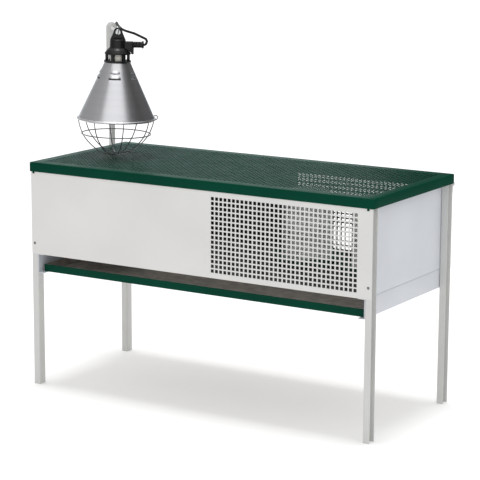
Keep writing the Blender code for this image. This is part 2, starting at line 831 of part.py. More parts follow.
def build_housing():
    """The black lampholder housing: eye, body, lower bell, and the cable box on its right with the gland."""
    ear = arc((0, 0), EYE_RADIUS, 0, math.pi, SMALL_ROUND)
    ear += [(-HOUSING_RADIUS, -HOUSING_SHOULDER), (-HOUSING_RADIUS, -CABLE_BOX_TOP)]
    ear += [(HOUSING_RADIUS, -CABLE_BOX_TOP), (HOUSING_RADIUS, -HOUSING_SHOULDER)]
    bore = arc((0, 0), ARM_RADIUS + TOUCH_GAP, 0, math.tau, SMALL_ROUND)[:-1]
    eye = plate("eye_shape", [ear, bore], EYE_THICKNESS, None, LAMP, (0, 0, 0), (1, 0, 0), (0, 0, 1))
    eye = as_mesh(eye)
    body = turned(
        "lamp_housing",
        (
            (0, -HOUSING_SHOULDER),
            (HOUSING_RADIUS, -HOUSING_SHOULDER),
            (HOUSING_RADIUS, -HOUSING_BOTTOM + BELL_HEIGHT),
            (BELL_RADIUS, -HOUSING_BOTTOM),
            (0, -HOUSING_BOTTOM),
        ),
        "black_plastic",
        LAMP,
    )
    box = block(
        "cable_box_shape",
        (0, -CABLE_BOX_WIDTH / 2, -HOUSING_BOTTOM + TOUCH_GAP),
        (CABLE_BOX_REACH, CABLE_BOX_WIDTH / 2, -CABLE_BOX_TOP),
        frame=LAMP,
    )
    skirt = block(
        "cable_box_skirt",
        (CABLE_BOX_REACH - CABLE_BOX_SKIRT, -CABLE_BOX_WIDTH / 2, -CABLE_BOX_BOTTOM),
        (CABLE_BOX_REACH, CABLE_BOX_WIDTH / 2, -CABLE_BOX_TOP),
        frame=LAMP,
    )
    join(body, eye, box, skirt)
    gland = turned(
        "cable_gland",
        (
            (0, GLAND_END - CABLE_BOX_REACH - TOUCH_GAP),
            (GLAND_END_RADIUS, GLAND_END - CABLE_BOX_REACH - TOUCH_GAP),
            (GLAND_END_RADIUS, GLAND_END - CABLE_BOX_REACH - TOUCH_GAP - GLAND_END_LENGTH),
            (GLAND_RADIUS, GLAND_END - CABLE_BOX_REACH - TOUCH_GAP - GLAND_END_LENGTH),
            (GLAND_RADIUS, 0),
            (0, 0),
        ),
        "black_plastic",
        LAMP,
        steps=SMALL_ROUND,
        location=(CABLE_BOX_REACH + TOUCH_GAP, 0, -GLAND_DROP),
    )
    gland.rotation_euler = (0, math.pi / 2, 0)


def build_collar():
    """The black collar between housing and shade, with windows between its posts, and the pale socket inside."""
    top = -HOUSING_BOTTOM - TOUCH_GAP
    under_top = top - COLLAR_TOP_FLANGE
    over_foot = -COLLAR_FOOT + COLLAR_FOOT_FLANGE
    collar = turned(
        "vented_collar",
        (
            (BELL_RADIUS, top),
            (COLLAR_TOP_RADIUS, under_top + COLLAR_TOP_EDGE),
            (COLLAR_TOP_RADIUS, under_top),
            (COLLAR_WAIST_RADIUS, under_top),
            (COLLAR_WAIST_RADIUS, over_foot),
            (COLLAR_FOOT_RADIUS, over_foot),
            (COLLAR_FOOT_RADIUS, -COLLAR_FOOT),
            (COLLAR_BORE, -COLLAR_FOOT),
            (COLLAR_BORE, top),
        ),
        "black_plastic",
        LAMP,
    )
    width = math.tau * COLLAR_WAIST_RADIUS / COLLAR_POSTS * (1 - COLLAR_POST_SHARE)
    for index in range(COLLAR_POSTS // 2):
        window = block(
            f"collar_window_{index}",
            (-COLLAR_FOOT_RADIUS - CUT_OVERRUN, -width / 2, over_foot),
            (COLLAR_FOOT_RADIUS + CUT_OVERRUN, width / 2, under_top),
            frame=LAMP,
        )
        window.rotation_euler = (0, 0, math.pi / 2 + math.tau * index / COLLAR_POSTS)
        cut(collar, window)
    socket_top = top
    socket_bottom = socket_top - SOCKET_DEPTH
    turned(
        "lamp_socket",
        (
            (0, socket_top),
            (SOCKET_RADIUS, socket_top),
            (SOCKET_RADIUS, socket_bottom),
            (SOCKET_RADIUS - SOCKET_WALL, socket_bottom),
            (SOCKET_RADIUS - SOCKET_WALL, socket_top - SOCKET_WALL),
            (0, socket_top - SOCKET_WALL),
        ),
        "white_ceramic",
        LAMP,
        steps=SMALL_ROUND,
    )


def build_bulb():
    """The reflector bulb and its screw cap, up in the socket."""
    cap_top = -HOUSING_BOTTOM - TOUCH_GAP - SOCKET_WALL - CAP_TOP_GAP
    neck_top = -HOUSING_BOTTOM - TOUCH_GAP - SOCKET_DEPTH
    cylinder(
        "bulb_cap",
        SOCKET_RADIUS - SOCKET_WALL - CAP_CLEARANCE,
        (0, 0, neck_top),
        (0, 0, cap_top),
        "bright_steel",
        LAMP,
    )
    turned(
        "bulb",
        (
            (0, neck_top - TOUCH_GAP),
            (BULB_NECK_RADIUS, neck_top - TOUCH_GAP),
            (BULB_NECK_RADIUS, -BULB_NECK),
            (BULB_RADIUS, -BULB_SHOULDER),
            (BULB_RADIUS, -(BULB_SHOULDER + BULB_BOTTOM) / 2),
            (BULB_RADIUS / 2, -BULB_BOTTOM + TOUCH_GAP * 2),
            (0, -BULB_BOTTOM),
        ),
        "red_glass",
        LAMP,
    )


def build_shade():
    """The spun cone with its rolled rim, as one shell open at the top ring and the mouth."""
    inner_top = SOCKET_RADIUS + TOUCH_GAP
    slope = (SHADE_RADIUS - SHADE_BEAD * 2 - SHADE_TOP_RADIUS) / (SHADE_RIM - SHADE_TOP)
    bead_top = -SHADE_RIM + SHADE_BEAD
    bead_inner = SHADE_RADIUS - SHADE_BEAD * 2
    turned(
        "lamp_shade",
        (
            (inner_top, -SHADE_TOP),
            (SHADE_TOP_RADIUS, -SHADE_TOP),
            (bead_inner, bead_top),
            (SHADE_RADIUS - SHADE_BEAD / 2, bead_top),
            (SHADE_RADIUS, -SHADE_RIM),
            (SHADE_RADIUS - SHADE_BEAD / 2, -SHADE_RIM - SHADE_BEAD),
            (bead_inner - SHADE_SHEET, -SHADE_RIM - SHADE_BEAD),
            (bead_inner - SHADE_SHEET, bead_top),
            (SHADE_TOP_RADIUS - SHADE_SHEET * slope, -SHADE_TOP - SHADE_SHEET),
            (inner_top, -SHADE_TOP - SHADE_SHEET),
        ),
        "spun_aluminium",
        LAMP,
    )


def build_guard():
    """Four wire loops hooked over the shade's rim, welded where they cross and to one ring, and the clip."""
    rim_facet = SHADE_RADIUS * math.cos(math.pi / ROUND)
    reach = rim_facet + GUARD_WIRE_RADIUS + TOUCH_GAP
    layer = GUARD_WIRE_RADIUS * WELD_SHARE
    shares = list(zip(GUARD_RADIUS_SHARES, GUARD_DROP_SHARES))
    loops = []
    for index in range(GUARD_LOOPS):
        angle = GUARD_PHASE + math.pi * index / GUARD_LOOPS
        depth = GUARD_DEPTH - layer * index
        half = [(reach * radius, -SHADE_RIM - depth * drop) for radius, drop in shares]
        half.insert(0, (reach, -SHADE_RIM + GUARD_HOOK_RISE))
        profile = half + [(0, -SHADE_RIM - depth)] + [(-radius, height) for radius, height in reversed(half)]
        points = [(radius * math.cos(angle), radius * math.sin(angle), height) for radius, height in profile]
        paint = "zinc_wire" if index == 0 else None
        name = "lamp_guard" if index == 0 else f"guard_loop_{index}"
        loops.append(as_mesh(tube(name, points, GUARD_WIRE_RADIUS, paint, LAMP)))
    ring_radius = reach * guard_radius_share(GUARD_RING_DROP / GUARD_DEPTH) + layer
    ring = [(x, y, -SHADE_RIM - GUARD_RING_DROP) for x, y in arc((0, 0), ring_radius, 0, math.tau, ROUND)[:-1]]
    loops.append(as_mesh(tube("guard_ring_shape", ring, GUARD_WIRE_RADIUS, None, LAMP, closed=True)))
    join(loops[0], *loops[1:])
    clip_x = reach + CLIP_RING_RADIUS
    circle = arc((0, 0), CLIP_RING_RADIUS, 0, math.tau, SMALL_ROUND)[:-1]
    turn = Matrix.Rotation(CLIP_ANGLE, 4, "Z")
    clip = [turn @ Vector((clip_x + x, 0, -SHADE_RIM + z)) for x, z in circle]
    tube("guard_clip", clip, GUARD_WIRE_RADIUS, "zinc_wire", LAMP, closed=True)


def guard_radius_share(drop):
    """The guard's radius share at a drop share, between the points of its profile."""
    pairs = list(zip(GUARD_DROP_SHARES, GUARD_RADIUS_SHARES))
    for (low, wide), (high, narrow) in zip(pairs, pairs[1:]):
        if low <= drop <= high:
            return wide + (narrow - wide) * (drop - low) / (high - low)
    return 0


def build_fount(kind, place, jar_frame):
    """A dish with a trough and a collar ring, and the jar that twists on to it."""
    bottom = FLOOR_TOP + TOUCH_GAP
    floor = bottom + DISH_WALL
    inner = (COLLAR_RING_RADIUS + TOUCH_GAP) / math.cos(math.pi / ROUND)
    outer = inner + JAR_WALL
    turned(
        f"{kind}_dish",
        (
            (0, floor),
            (COLLAR_RING_RADIUS - DISH_WALL, floor),
            (COLLAR_RING_RADIUS - DISH_WALL, floor + COLLAR_RING_HEIGHT),
            (COLLAR_RING_RADIUS, floor + COLLAR_RING_HEIGHT),
            (COLLAR_RING_RADIUS, floor + SEAT_LEDGE),
            (outer, floor + SEAT_LEDGE),
            (outer, floor),
            (DISH_FOOT_RADIUS - DISH_WALL, floor),
            (DISH_RADIUS - DISH_WALL, bottom + DISH_HEIGHT),
            (DISH_RADIUS, bottom + DISH_HEIGHT),
            (DISH_FOOT_RADIUS, bottom),
            (0, bottom),
        ),
        "green_plastic",
        CAGE,
        location=(*place, 0),
    )
    low = floor + SEAT_LEDGE + TOUCH_GAP
    top = low + JAR_HEIGHT
    shoulder = low + JAR_HEIGHT * JAR_SHOULDER_SHARE
    turned(
        f"{kind}_jar",
        (
            (0, top),
            (outer * JAR_NECK_SHARE / 2, top - JAR_WALL),
            (outer * JAR_NECK_SHARE, top - JAR_WALL * 4),
            (outer, shoulder),
            (outer, low),
            (inner, low),
            (inner, shoulder - JAR_WALL),
            (inner * JAR_NECK_SHARE, top - JAR_WALL * 6),
            (inner * JAR_NECK_SHARE / 2, top - JAR_WALL * 3),
            (0, top - JAR_WALL * 2),
        ),
        "milky_plastic",
        jar_frame,
        location=(0, 0, -FLOOR_TOP),
    )


def belt(radius_a, radius_b, spacing, steps):
    """The outline of a band drawn tight round two circles, the first at zero and the second along +X."""
    lean = math.acos((radius_a - radius_b) / spacing)
    first = arc((0, 0), radius_a, lean, math.tau - lean, steps)
    return first + arc((spacing, 0), radius_b, -lean, lean, steps)


def tie(name, radius_a, radius_b, spacing, frame, location, across, up):
    """A flat band round two round pieces side by side."""
    inner = belt(radius_a + TOUCH_GAP, radius_b + TOUCH_GAP, spacing, SMALL_ROUND // 2)
    slack = TOUCH_GAP + TIE_THICKNESS
    outer = belt(radius_a + slack, radius_b + slack, spacing, SMALL_ROUND // 2)
    return plate(name, [outer, inner], TIE_WIDTH, "black_plastic", frame, location, across, up)


# The cord's route, along X to the gland's side and along Y back to the post. The loop is in the lamp's frame
CORD_LOOP = (
    (0.0673, 0.0000, -0.0320),
    (0.0700, 0.0000, -0.0320),
    (0.0740, 0.0025, -0.0292),
    (0.0762, 0.0065, -0.0232),
    (0.0738, 0.0105, -0.0180),
    (0.0655, 0.0140, -0.0142),
    (0.0545, 0.0170, -0.0094),
    (0.0430, 0.0200, -0.0044),
    (0.0330, 0.0240, -0.0020),
    (0.0235, 0.0300, 0.0003),
    (0.0170, 0.0390, 0.0022),
    (0.0136, 0.0520, 0.0034),
    (0.0133, 0.0600, 0.0036),
)
CORD_LEAD = (
    (0.0134, 0.0760, 0.0028),
    (0.0134, 0.0950, 0.0023),
    (0.0134, 0.1250, 0.0020),
    (0.0134, 0.1550, 0.0021),
    (0.0134, 0.1850, 0.0028),
    (0.0135, 0.2100, 0.0039),
    (0.0137, 0.2300, 0.0043),
    (0.0139, 0.2430, 0.0008),
    (0.0135, 0.2515, -0.0085),
    (0.0115, 0.2555, -0.0210),
    (0.0080, 0.2565, -0.0350),
    (0.0038, 0.2562, -0.0520),
    (0.0008, 0.2552, -0.0710),
    (0.0000, 0.2550, -0.0900),
)


def with_straight_ends(route):
    """The smooth curve through a route, whose first and last stretches stay exactly straight."""
    places = [Vector(point) for point in route]
    return [places[0], *along_curve(places[1:-1], CORD_STEP), places[-1]]


def coil_points(mean_radius, centre, side_x):
    """One unbroken cord: in along one flat layer, over to the other in half a turn, and out again."""
    half_turns = COIL_TURNS / 2
    points = []
    for index in range(COIL_TURNS * COIL_POINTS + 1):
        turn = index / COIL_POINTS
        inward = min(turn, COIL_TURNS - turn)
        radius = mean_radius + COIL_PITCH * (half_turns / 2 - inward)
        climb = min(1, max(0, (turn - half_turns) * 2 + 1 / 2))
        angle = math.tau * turn
        points.append(
            Vector(
                (
                    side_x + COIL_PITCH * climb,
                    centre[0] + radius * math.cos(angle),
                    centre[1] - radius * math.sin(angle),
                )
            )
        )
    return points


def wind(mean_radius, top):
    """The coil's points from its top end, and the straight tail below it that clears the turns."""
    outer = mean_radius + COIL_PITCH * COIL_TURNS / 4
    wound = coil_points(mean_radius, (top.y - outer, COIL_CENTRE_HEIGHT), top.x)
    wound.insert(0, top)
    end = wound[-1] - Vector((0, 0, CORD_RADIUS * 2))
    wound.append(end)
    start = end - Vector((0, 0, TOUCH_GAP))
    last = Vector((end.x, end.y, COIL_CENTRE_HEIGHT - outer - CORD_RADIUS * 2))
    return wound, [start, (start + last) / 2, last]


def least_gap(points, radius):
    """The least clear distance between stretches of one cord that are over half a turn apart."""
    least = CORD_LENGTH
    for index, place in enumerate(points):
        for other in points[index + COIL_POINTS // 2 :]:
            least = min(least, (place - other).length)
    return least - radius * 2


def to_cage(point):
    """A bracket frame point in the cage's frame."""
    turned_point = Matrix.Rotation(ARM_TURN, 3, "Z") @ Vector(point)
    return turned_point + Vector((EYE_X, EYE_Y, EYE_Z))


def build_cord():
    """The mains lead: loop, run, coil and tail, each meeting the next face to face, with ties and plug."""
    loop = with_straight_ends(CORD_LOOP)
    tube("cord_loop", loop, CORD_RADIUS, "black_rubber", LAMP)
    start = Matrix.Rotation(LAMP_TILT, 3, "Y") @ loop[-1] + Vector((0, TOUCH_GAP, 0))
    level_route = [start, start + Vector((0, CORD_RADIUS * 2, 0)), *map(Vector, CORD_LEAD)]
    lead = [to_cage(point) for point in level_route]
    bottom = lead[-1]
    top_of_coil = Vector((bottom.x, bottom.y, COIL_CENTRE_HEIGHT + CORD_RADIUS * 2))
    lead.append((bottom * 3 + top_of_coil) / 4)
    lead.append((bottom + top_of_coil) / 2)
    lead.append(top_of_coil + Vector((0, 0, CORD_RADIUS * 2 + TOUCH_GAP)))
    lead.append(top_of_coil + Vector((0, 0, TOUCH_GAP)))
    run = with_straight_ends(lead)
    tube("cord_lead", run, CORD_RADIUS, "black_rubber", LID)
    free = length_of(loop) + length_of(run)
    per_radius = math.tau * COIL_TURNS + 1
    mean_radius = (CORD_LENGTH - free) / per_radius
    for attempt in range(2):
        wound, tail = wind(mean_radius, top_of_coil)
        total = free + length_of(wound) + length_of(tail)
        mean_radius += (CORD_LENGTH - total) / per_radius
    wound, tail = wind(mean_radius, top_of_coil)
    tube("cord_coil", wound, CORD_RADIUS, "black_rubber", LID, rounding=1)
    tube("cord_tail", tail, CORD_RADIUS, "black_rubber", LID)
    total = free + length_of(wound) + length_of(tail)
    print("coil: mean diameter", round(mean_radius * 2, 4), "least gap", round(least_gap(wound, CORD_RADIUS), 5))
    print("cord length", round(total, 4))
    end_x = tail[-1].x
    tail_end = tail[-1].z
    build_plug(end_x, bottom.y, tail_end - TOUCH_GAP)
    coil_reach = COIL_PITCH / 2 + CORD_RADIUS
    tie(
        "coil_tie",
        coil_reach,
        coil_reach - TOUCH_GAP / 10,
        COIL_PITCH * COIL_TURNS / 2,
        LID,
        (bottom.x + COIL_PITCH / 2, bottom.y, COIL_CENTRE_HEIGHT),
        (0, -1, 0),
        (1, 0, 0),
    )
    offset = Vector((bottom.x - POST_X, bottom.y - POST_Y, 0))
    side = Vector((-offset.y, offset.x, 0))
    post_shares = (("post_tie_lower", POST_TIE_LOWER_SHARE), ("post_tie_upper", POST_TIE_UPPER_SHARE))
    for name, share in post_shares:
        place = (POST_X, POST_Y, LID_TOP + (PLATE_BOTTOM - LID_TOP) * share)
        tie(name, POST_RADIUS, CORD_RADIUS, offset.length, LID, place, offset, side)


def build_plug(x, y, top):
    """A flat moulded two-pin plug hanging on the cord's end, pins down."""
    shoulder = -PLUG_LENGTH * PLUG_SHOULDER_SHARE
    outline = (
        (-PLUG_NECK_WIDTH / 2, 0),
        (PLUG_NECK_WIDTH / 2, 0),
        (PLUG_WIDTH / 2, shoulder),
        (PLUG_WIDTH / 2, -PLUG_LENGTH),
        (-PLUG_WIDTH / 2, -PLUG_LENGTH),
        (-PLUG_WIDTH / 2, shoulder),
    )
    plate("mains_plug", [outline], PLUG_THICKNESS, "black_rubber", LID, (x, y, top), (0, 1, 0), (0, 0, 1))
    face = top - PLUG_LENGTH - TOUCH_GAP
    for name, side in (("plug_pin_left", -1), ("plug_pin_right", 1)):
        place = y + side * PIN_SPACING / 2
        end = (x, place, face - PIN_LENGTH)
        cylinder(name, PIN_RADIUS, (x, place, face), end, "bright_steel", LID)


clear_scene()
PARTS = new_collection("brooder_cage")
CUTTERS = new_collection("cutters")
CAGE = empty("brooder_cage_frame", location=(-CENTRE_X, -CENTRE_Y, 0))
LID_AXIS = empty("lid_hinge_axis", CAGE, (0, HINGE_Y, HINGE_Z))
LID = empty("lid_frame", LID_AXIS, (0, -HINGE_Y, -HINGE_Z))
BRACKET = empty("bracket_frame", LID, (EYE_X, EYE_Y, EYE_Z), (0, 0, ARM_TURN))
LAMP_LEVEL = empty("lamp_swing_axis", BRACKET)
LAMP = empty("lamp_frame", LAMP_LEVEL, rotation=(0, LAMP_TILT, 0))
TRAY = empty("tray_frame", CAGE)
build_legs()
build_panels()
build_floor()
build_runners()
build_tray()
build_lid()
build_hinge("left", -1)
build_hinge("right", 1)
build_post()
build_bracket()
build_housing()
build_collar()
build_bulb()
build_shade()
build_guard()
for fount_kind, inset, back in zip(("drinker", "feeder"), FOUNT_INSETS, FOUNT_BACKS):
    fount_place = (LID_X - inset, back)
    jar_axis = empty(f"{fount_kind}_jar_axis", CAGE, (*fount_place, FLOOR_TOP))
    build_fount(fount_kind, fount_place, jar_axis)
build_cord()
bpy.context.view_layer.update()
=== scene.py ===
# Brooder cage: the looks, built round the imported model
import json
import math
import bmesh
import bpy
from mathutils import Matrix, Vector


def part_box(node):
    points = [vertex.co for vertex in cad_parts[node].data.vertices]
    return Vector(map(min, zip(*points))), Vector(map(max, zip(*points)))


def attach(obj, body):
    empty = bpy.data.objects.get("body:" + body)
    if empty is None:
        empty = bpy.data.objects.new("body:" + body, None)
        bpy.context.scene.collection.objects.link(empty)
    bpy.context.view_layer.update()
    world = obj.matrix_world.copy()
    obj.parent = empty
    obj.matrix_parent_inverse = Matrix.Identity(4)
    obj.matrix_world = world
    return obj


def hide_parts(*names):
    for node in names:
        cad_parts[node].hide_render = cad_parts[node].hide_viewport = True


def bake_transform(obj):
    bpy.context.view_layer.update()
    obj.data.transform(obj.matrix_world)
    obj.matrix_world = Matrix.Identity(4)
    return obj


mm = 0.001
nearEdge = 0.1 * mm  # corners this close to an edge lie on it
samePlace = 0.01 * mm  # corners this close are one
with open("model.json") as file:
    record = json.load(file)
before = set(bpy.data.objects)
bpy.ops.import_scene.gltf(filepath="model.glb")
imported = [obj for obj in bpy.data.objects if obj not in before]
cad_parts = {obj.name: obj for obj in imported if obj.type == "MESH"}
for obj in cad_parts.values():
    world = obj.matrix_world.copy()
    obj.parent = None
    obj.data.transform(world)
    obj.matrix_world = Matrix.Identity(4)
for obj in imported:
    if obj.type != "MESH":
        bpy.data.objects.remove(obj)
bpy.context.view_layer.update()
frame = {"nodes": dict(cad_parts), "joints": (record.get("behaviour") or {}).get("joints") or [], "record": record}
bpy.context.scene.view_settings.view_transform = "Standard"

lidLow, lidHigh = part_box("lid")
cageCentre = Vector(((lidLow.x + lidHigh.x) / 2, (lidLow.y + lidHigh.y) / 2, 0))
joints = {joint["name"]: joint for joint in frame["joints"]}
lampEye = Vector(joints["lamp_swing"]["pos_m"])
swingAxis = Vector(joints["lamp_swing"]["axis"])
armTurn = math.atan2(-swingAxis.x, swingAxis.y)
lampTilt = math.radians(1.5)
bracketPlace = Matrix.Translation(lampEye) @ Matrix.Rotation(armTurn, 4, "Z")
lampPlace = bracketPlace @ Matrix.Rotation(lampTilt, 4, "Y")
slotOf = {row["node"]: row["material_slot"] for row in frame["record"]["subparts"]}
bodyOf = {node: body for body, nodes in frame["record"]["behaviour"]["bodies"].items() for node in nodes}


# Colours and materials

def hexColour(code):
    values = [int(code[place:place + 2], 16) / 255 for place in (0, 2, 4)]
    return [v / 12.92 if v <= 0.04045 else ((v + 0.055) / 1.055) ** 2.4 for v in values] + [1.0]


white = hexColour("FFFFFF")


def addNode(tree, kind, settings=None, inputs=None, links=None):
    # One node with its settings, its socket values and its incoming links
    node = tree.nodes.new(kind)
    for name, value in (settings or {}).items():
        setattr(node, name, value)
    for name, value in (inputs or {}).items():
        node.inputs[name].default_value = value
    for name, source in (links or {}).items():
        tree.links.new(source, node.inputs[name])
    return node


def newMaterial(name, colour, roughness, metallic=0.0, **sockets):
    made = bpy.data.materials.new(name)
    made.use_nodes = True
    shader = made.node_tree.nodes["Principled BSDF"]
    shader.inputs["Base Color"].default_value = hexColour(colour)
    shader.inputs["Roughness"].default_value = roughness
    shader.inputs["Metallic"].default_value = metallic
    for socket, value in sockets.items():
        shader.inputs[socket.replace("_", " ")].default_value = value
    made.diffuse_color = hexColour(colour)
    return made, made.node_tree, shader


def lampCoordinates(tree, scale):
    # Coordinates in the lamp's own frame, stretched, so a pattern can run round its axis
    moved = addNode(
        tree, "ShaderNodeMapping", {"vector_type": "TEXTURE"},
        {"Location": lampPlace.to_translation(), "Rotation": (0, lampTilt, armTurn)},
        {"Vector": addNode(tree, "ShaderNodeTexCoord").outputs["Object"]},
    )
    stretched = addNode(
        tree, "ShaderNodeMapping", {"vector_type": "POINT"}, {"Scale": scale},
        {"Vector": moved.outputs["Vector"]},
    )
    return stretched.outputs["Vector"]


def mottle(tree, shader, size, detail=3.0, vector=None, depth=None, stops=(0.3, 0.7), **sockets):
    # Spots of this size in metres, which run sockets between two colours or values, or lift the surface
    spots = addNode(
        tree, "ShaderNodeTexNoise", None, {"Scale": 1 / size, "Detail": detail},
        {"Vector": vector or addNode(tree, "ShaderNodeTexCoord").outputs["Object"]},
    )
    for socket, ends in sockets.items():
        spread = addNode(tree, "ShaderNodeValToRGB", None, None, {"Fac": spots.outputs["Fac"]})
        for element, place, value in zip(spread.color_ramp.elements, stops, ends):
            element.position = place
            element.color = hexColour(value) if isinstance(value, str) else (value, value, value, 1)
        tree.links.new(spread.outputs["Color"], shader.inputs[socket.replace("_", " ")])
    if depth:
        lift = addNode(tree, "ShaderNodeBump", None, {"Distance": depth}, {"Height": spots.outputs["Fac"]})
        tree.links.new(lift.outputs["Normal"], shader.inputs["Normal"])


def powderCoat(name, light, dark, roughness, shine):
    # Polyester powder coat on sheet steel: faint orange peel, colour that drifts a little over the sheet
    made, tree, shader = newMaterial(name, light, roughness, Specular_IOR_Level=shine)
    mottle(tree, shader, 180 * mm, 2.0, Base_Color=(dark, light))
    mottle(tree, shader, 35 * mm, Roughness=(roughness * 0.9, roughness * 1.15))
    mottle(tree, shader, 1.6 * mm, depth=0.03 * mm)
    return made


def trayPan(name):
    # Galvanised sheet pan under dry litter dust: flat, grainy and grey-brown
    made, tree, shader = newMaterial(name, "9A948B", 0.75)
    mottle(tree, shader, 22 * mm, 8.0, stops=(0.35, 0.65), Base_Color=("98928A", "B2ABA2"))
    mottle(tree, shader, 3 * mm, 5.0, depth=0.3 * mm)
    return made


def zincWire(name, light, dark):
    # Zinc-plated drawn wire: bright, slightly stained and duller where it is
    made, tree, shader = newMaterial(name, light, 0.25, 1.0)
    mottle(tree, shader, 14 * mm, 4.0, Base_Color=(dark, light), Roughness=(0.4, 0.22))
    return made


def zincPlate(name):
    # Zinc-plated fastener steel: bright, with rolling lines drawn coarse enough to show
    made, tree, shader = newMaterial(name, "C9CACB", 0.28, 1.0)
    mottle(tree, shader, 0.6 * mm, 2.0, depth=0.02 * mm, Roughness=(0.22, 0.4))
    return made


def spunAluminium(name):
    # Spun aluminium: turning rings round the axis and a satin sheen; the fine rings are 1.1 mm apart,
    # coarser than real ones so that they show, and the broad ones 11 mm
    made, tree, shader = newMaterial(name, "DCDDE0", 0.30, 1.0)
    fine, broad = lampCoordinates(tree, (6, 6, 900)), lampCoordinates(tree, (3, 3, 90))
    mottle(tree, shader, 1.0, 4.0, fine, 0.003 * mm, Roughness=(0.30, 0.34))
    mottle(tree, shader, 1.0, 2.0, broad, Base_Color=("DCDDE0", "E2E2E5"))
    return made


def blackThermoset(name):
    # Moulded black thermoset: satin, with a little grain that breaks up its highlights
    made, tree, shader = newMaterial(name, "0C0C0D", 0.36, Specular_IOR_Level=0.32)
    mottle(tree, shader, 1.2 * mm, depth=0.04 * mm, Base_Color=("08080A", "141416"))
    return made


def rubberFlex(name):
    # Extruded rubber flex: dull black with faint chalking in patches
    made, tree, shader = newMaterial(name, "0E0E0E", 0.55, Specular_IOR_Level=0.3)
    mottle(tree, shader, 5 * mm, stops=(0.35, 0.75), Base_Color=("0A0A0A", "181818"))
    mottle(tree, shader, 5 * mm, Roughness=(0.45, 0.65))
    return made


def glazedCeramic(name):
    # Glazed porcelain lampholder body: warm white, glassy
    made, tree, shader = newMaterial(name, "EDE9E0", 0.18)
    mottle(tree, shader, 9 * mm, Base_Color=("E4DFD4", "F1EEE7"))
    return made


def frostedBulb(name):
    # Reflector bulb: silvered neck and frosted face, here as pale satin glass
    made, tree, shader = newMaterial(name, "D9D6D2", 0.22, 0.3)
    mottle(tree, shader, 12 * mm, Base_Color=("CBC7C2", "E2DFDB"))
    return made


def milkyPolyethylene(name):
    # Blow-moulded natural polyethylene: translucent, waxy, faint flow mottling
    made, tree, shader = newMaterial(
        name, "E9EBE7", 0.38, Subsurface_Weight=0.4, Subsurface_Radius=(0.02, 0.02, 0.018),
        Subsurface_Scale=0.3, IOR=1.51,
    )
    mottle(tree, shader, 26 * mm, Base_Color=("DFE2DD", "EFF0ED"))
    mottle(tree, shader, 6 * mm, depth=0.12 * mm)
    return made


def greenPolypropylene(name):
    # Injection-moulded green polypropylene: soft gloss, tiny mould grain
    made, tree, shader = newMaterial(name, "2C5B44", 0.35, IOR=1.49)
    mottle(tree, shader, 30 * mm, Base_Color=("26523D", "34674D"))
    mottle(tree, shader, 0.9 * mm, depth=0.03 * mm)
    return made


def paintedShadeSheet(name):
    # Painted shade: dull, near black sheet for the panels' inner faces, standing for the shade inside the cage
    made, tree, shader = newMaterial(name, "2C2F2E", 0.7, Specular_IOR_Level=0.2)
    mottle(tree, shader, 45 * mm, Base_Color=("262928", "343837"))
    return made


def shadedFloorWire(name):
    # Floor mesh wire: zinc made dull and dark grey as painted shade for the dim floor inside the cage; it takes
    # hardly any light
    made, tree, shader = newMaterial(name, "4C4E50", 0.65, Specular_IOR_Level=0.25)
    mottle(tree, shader, 30 * mm, 4.0, Base_Color=("424446", "5A5C5C"))
    return made


finishes = {
    "green_paint": powderCoat("greenPowderCoat", "004130", "003A2B", 0.34, 0.05),
    "white_paint": powderCoat("whitePowderCoat", "E2E1DF", "DCDBD9", 0.42, 0.35),
    "grey_paint": powderCoat("greyPowderCoat", "D7D7D5", "D0D0CE", 0.42, 0.35),
    # Painted shade: the floor wire is dark grey for the shade inside the cage
    "galvanised": shadedFloorWire("paintedShadeFloorWire"),
    "zinc_wire": zincWire("zincWire", "A2A4A8", "74777B"),
    "bright_steel": zincPlate("zincPlate"),
    "spun_aluminium": spunAluminium("spunAluminium"),
    "black_plastic": blackThermoset("blackThermoset"),
    "black_rubber": rubberFlex("rubberFlex"),
    "white_ceramic": glazedCeramic("glazedCeramic"),
    "bulb_glass": frostedBulb("frostedBulb"),
    "milky_plastic": milkyPolyethylene("milkyPolyethylene"),
    "green_plastic": greenPolypropylene("greenPolypropylene"),
}
panPaint = trayPan("dustyPan")
insideShadePaint = paintedShadeSheet("paintedShadeInside")
# Painted shade: a darker, bluer copy of the white powder coat for the side panels and runners, whose faces get
# less light
shadedSidePaint = powderCoat("shadedSidePowderCoat", "D6D9DF", "CFD2D8", 0.42, 0.35)
screwPaint = zincWire("dullScrew", "8A8C8E", "5E6062")
print("materials ready")


# Modelling helpers

def only(piece):
    bpy.ops.object.select_all(action="DESELECT")
    piece.select_set(True)
    bpy.context.view_layer.objects.active = piece


def editMode(piece):
    only(piece)
    bpy.ops.object.mode_set(mode="EDIT")


def objectMode():
    bpy.ops.object.mode_set(mode="OBJECT")


def startPiece(name):
    # The primitive that was just added, named and with its transform applied, in edit mode
    piece = bpy.context.active_object
    piece.name = name
    piece.data.name = name
    only(piece)
    bpy.ops.object.transform_apply(location=True, rotation=True, scale=True)
    editMode(piece)
    return piece


def pick(piece, mode, test):
    # Selects the corners, edges or faces that pass a test, in edit mode
    bpy.ops.mesh.select_mode(type=mode)
    bpy.ops.mesh.select_all(action="DESELECT")
    shape = bmesh.from_edit_mesh(piece.data)
    for part in {"VERT": shape.verts, "EDGE": shape.edges, "FACE": shape.faces}[mode]:
        part.select_set(test(part))
    bmesh.update_edit_mesh(piece.data)


def pickFaces(piece, test):
    pick(piece, "FACE", lambda face: test(face.calc_center_median()))


def pickOpenEdges(piece, test):
    pick(piece, "EDGE", lambda edge: edge.is_boundary and all(test(corner.co) for corner in edge.verts))


def roundSharp(piece, width, segments, least=0.5, clamped=False):
    # Bevels the edges that turn by more than this angle
    pick(piece, "EDGE", lambda edge: len(edge.link_faces) == 2 and edge.calc_face_angle(0) > least)
    bpy.ops.mesh.bevel(offset=width, segments=segments, affect="EDGES", clamp_overlap=clamped)


def extrude(offset):
    bpy.ops.mesh.extrude_region_move(TRANSFORM_OT_translate={"value": offset})


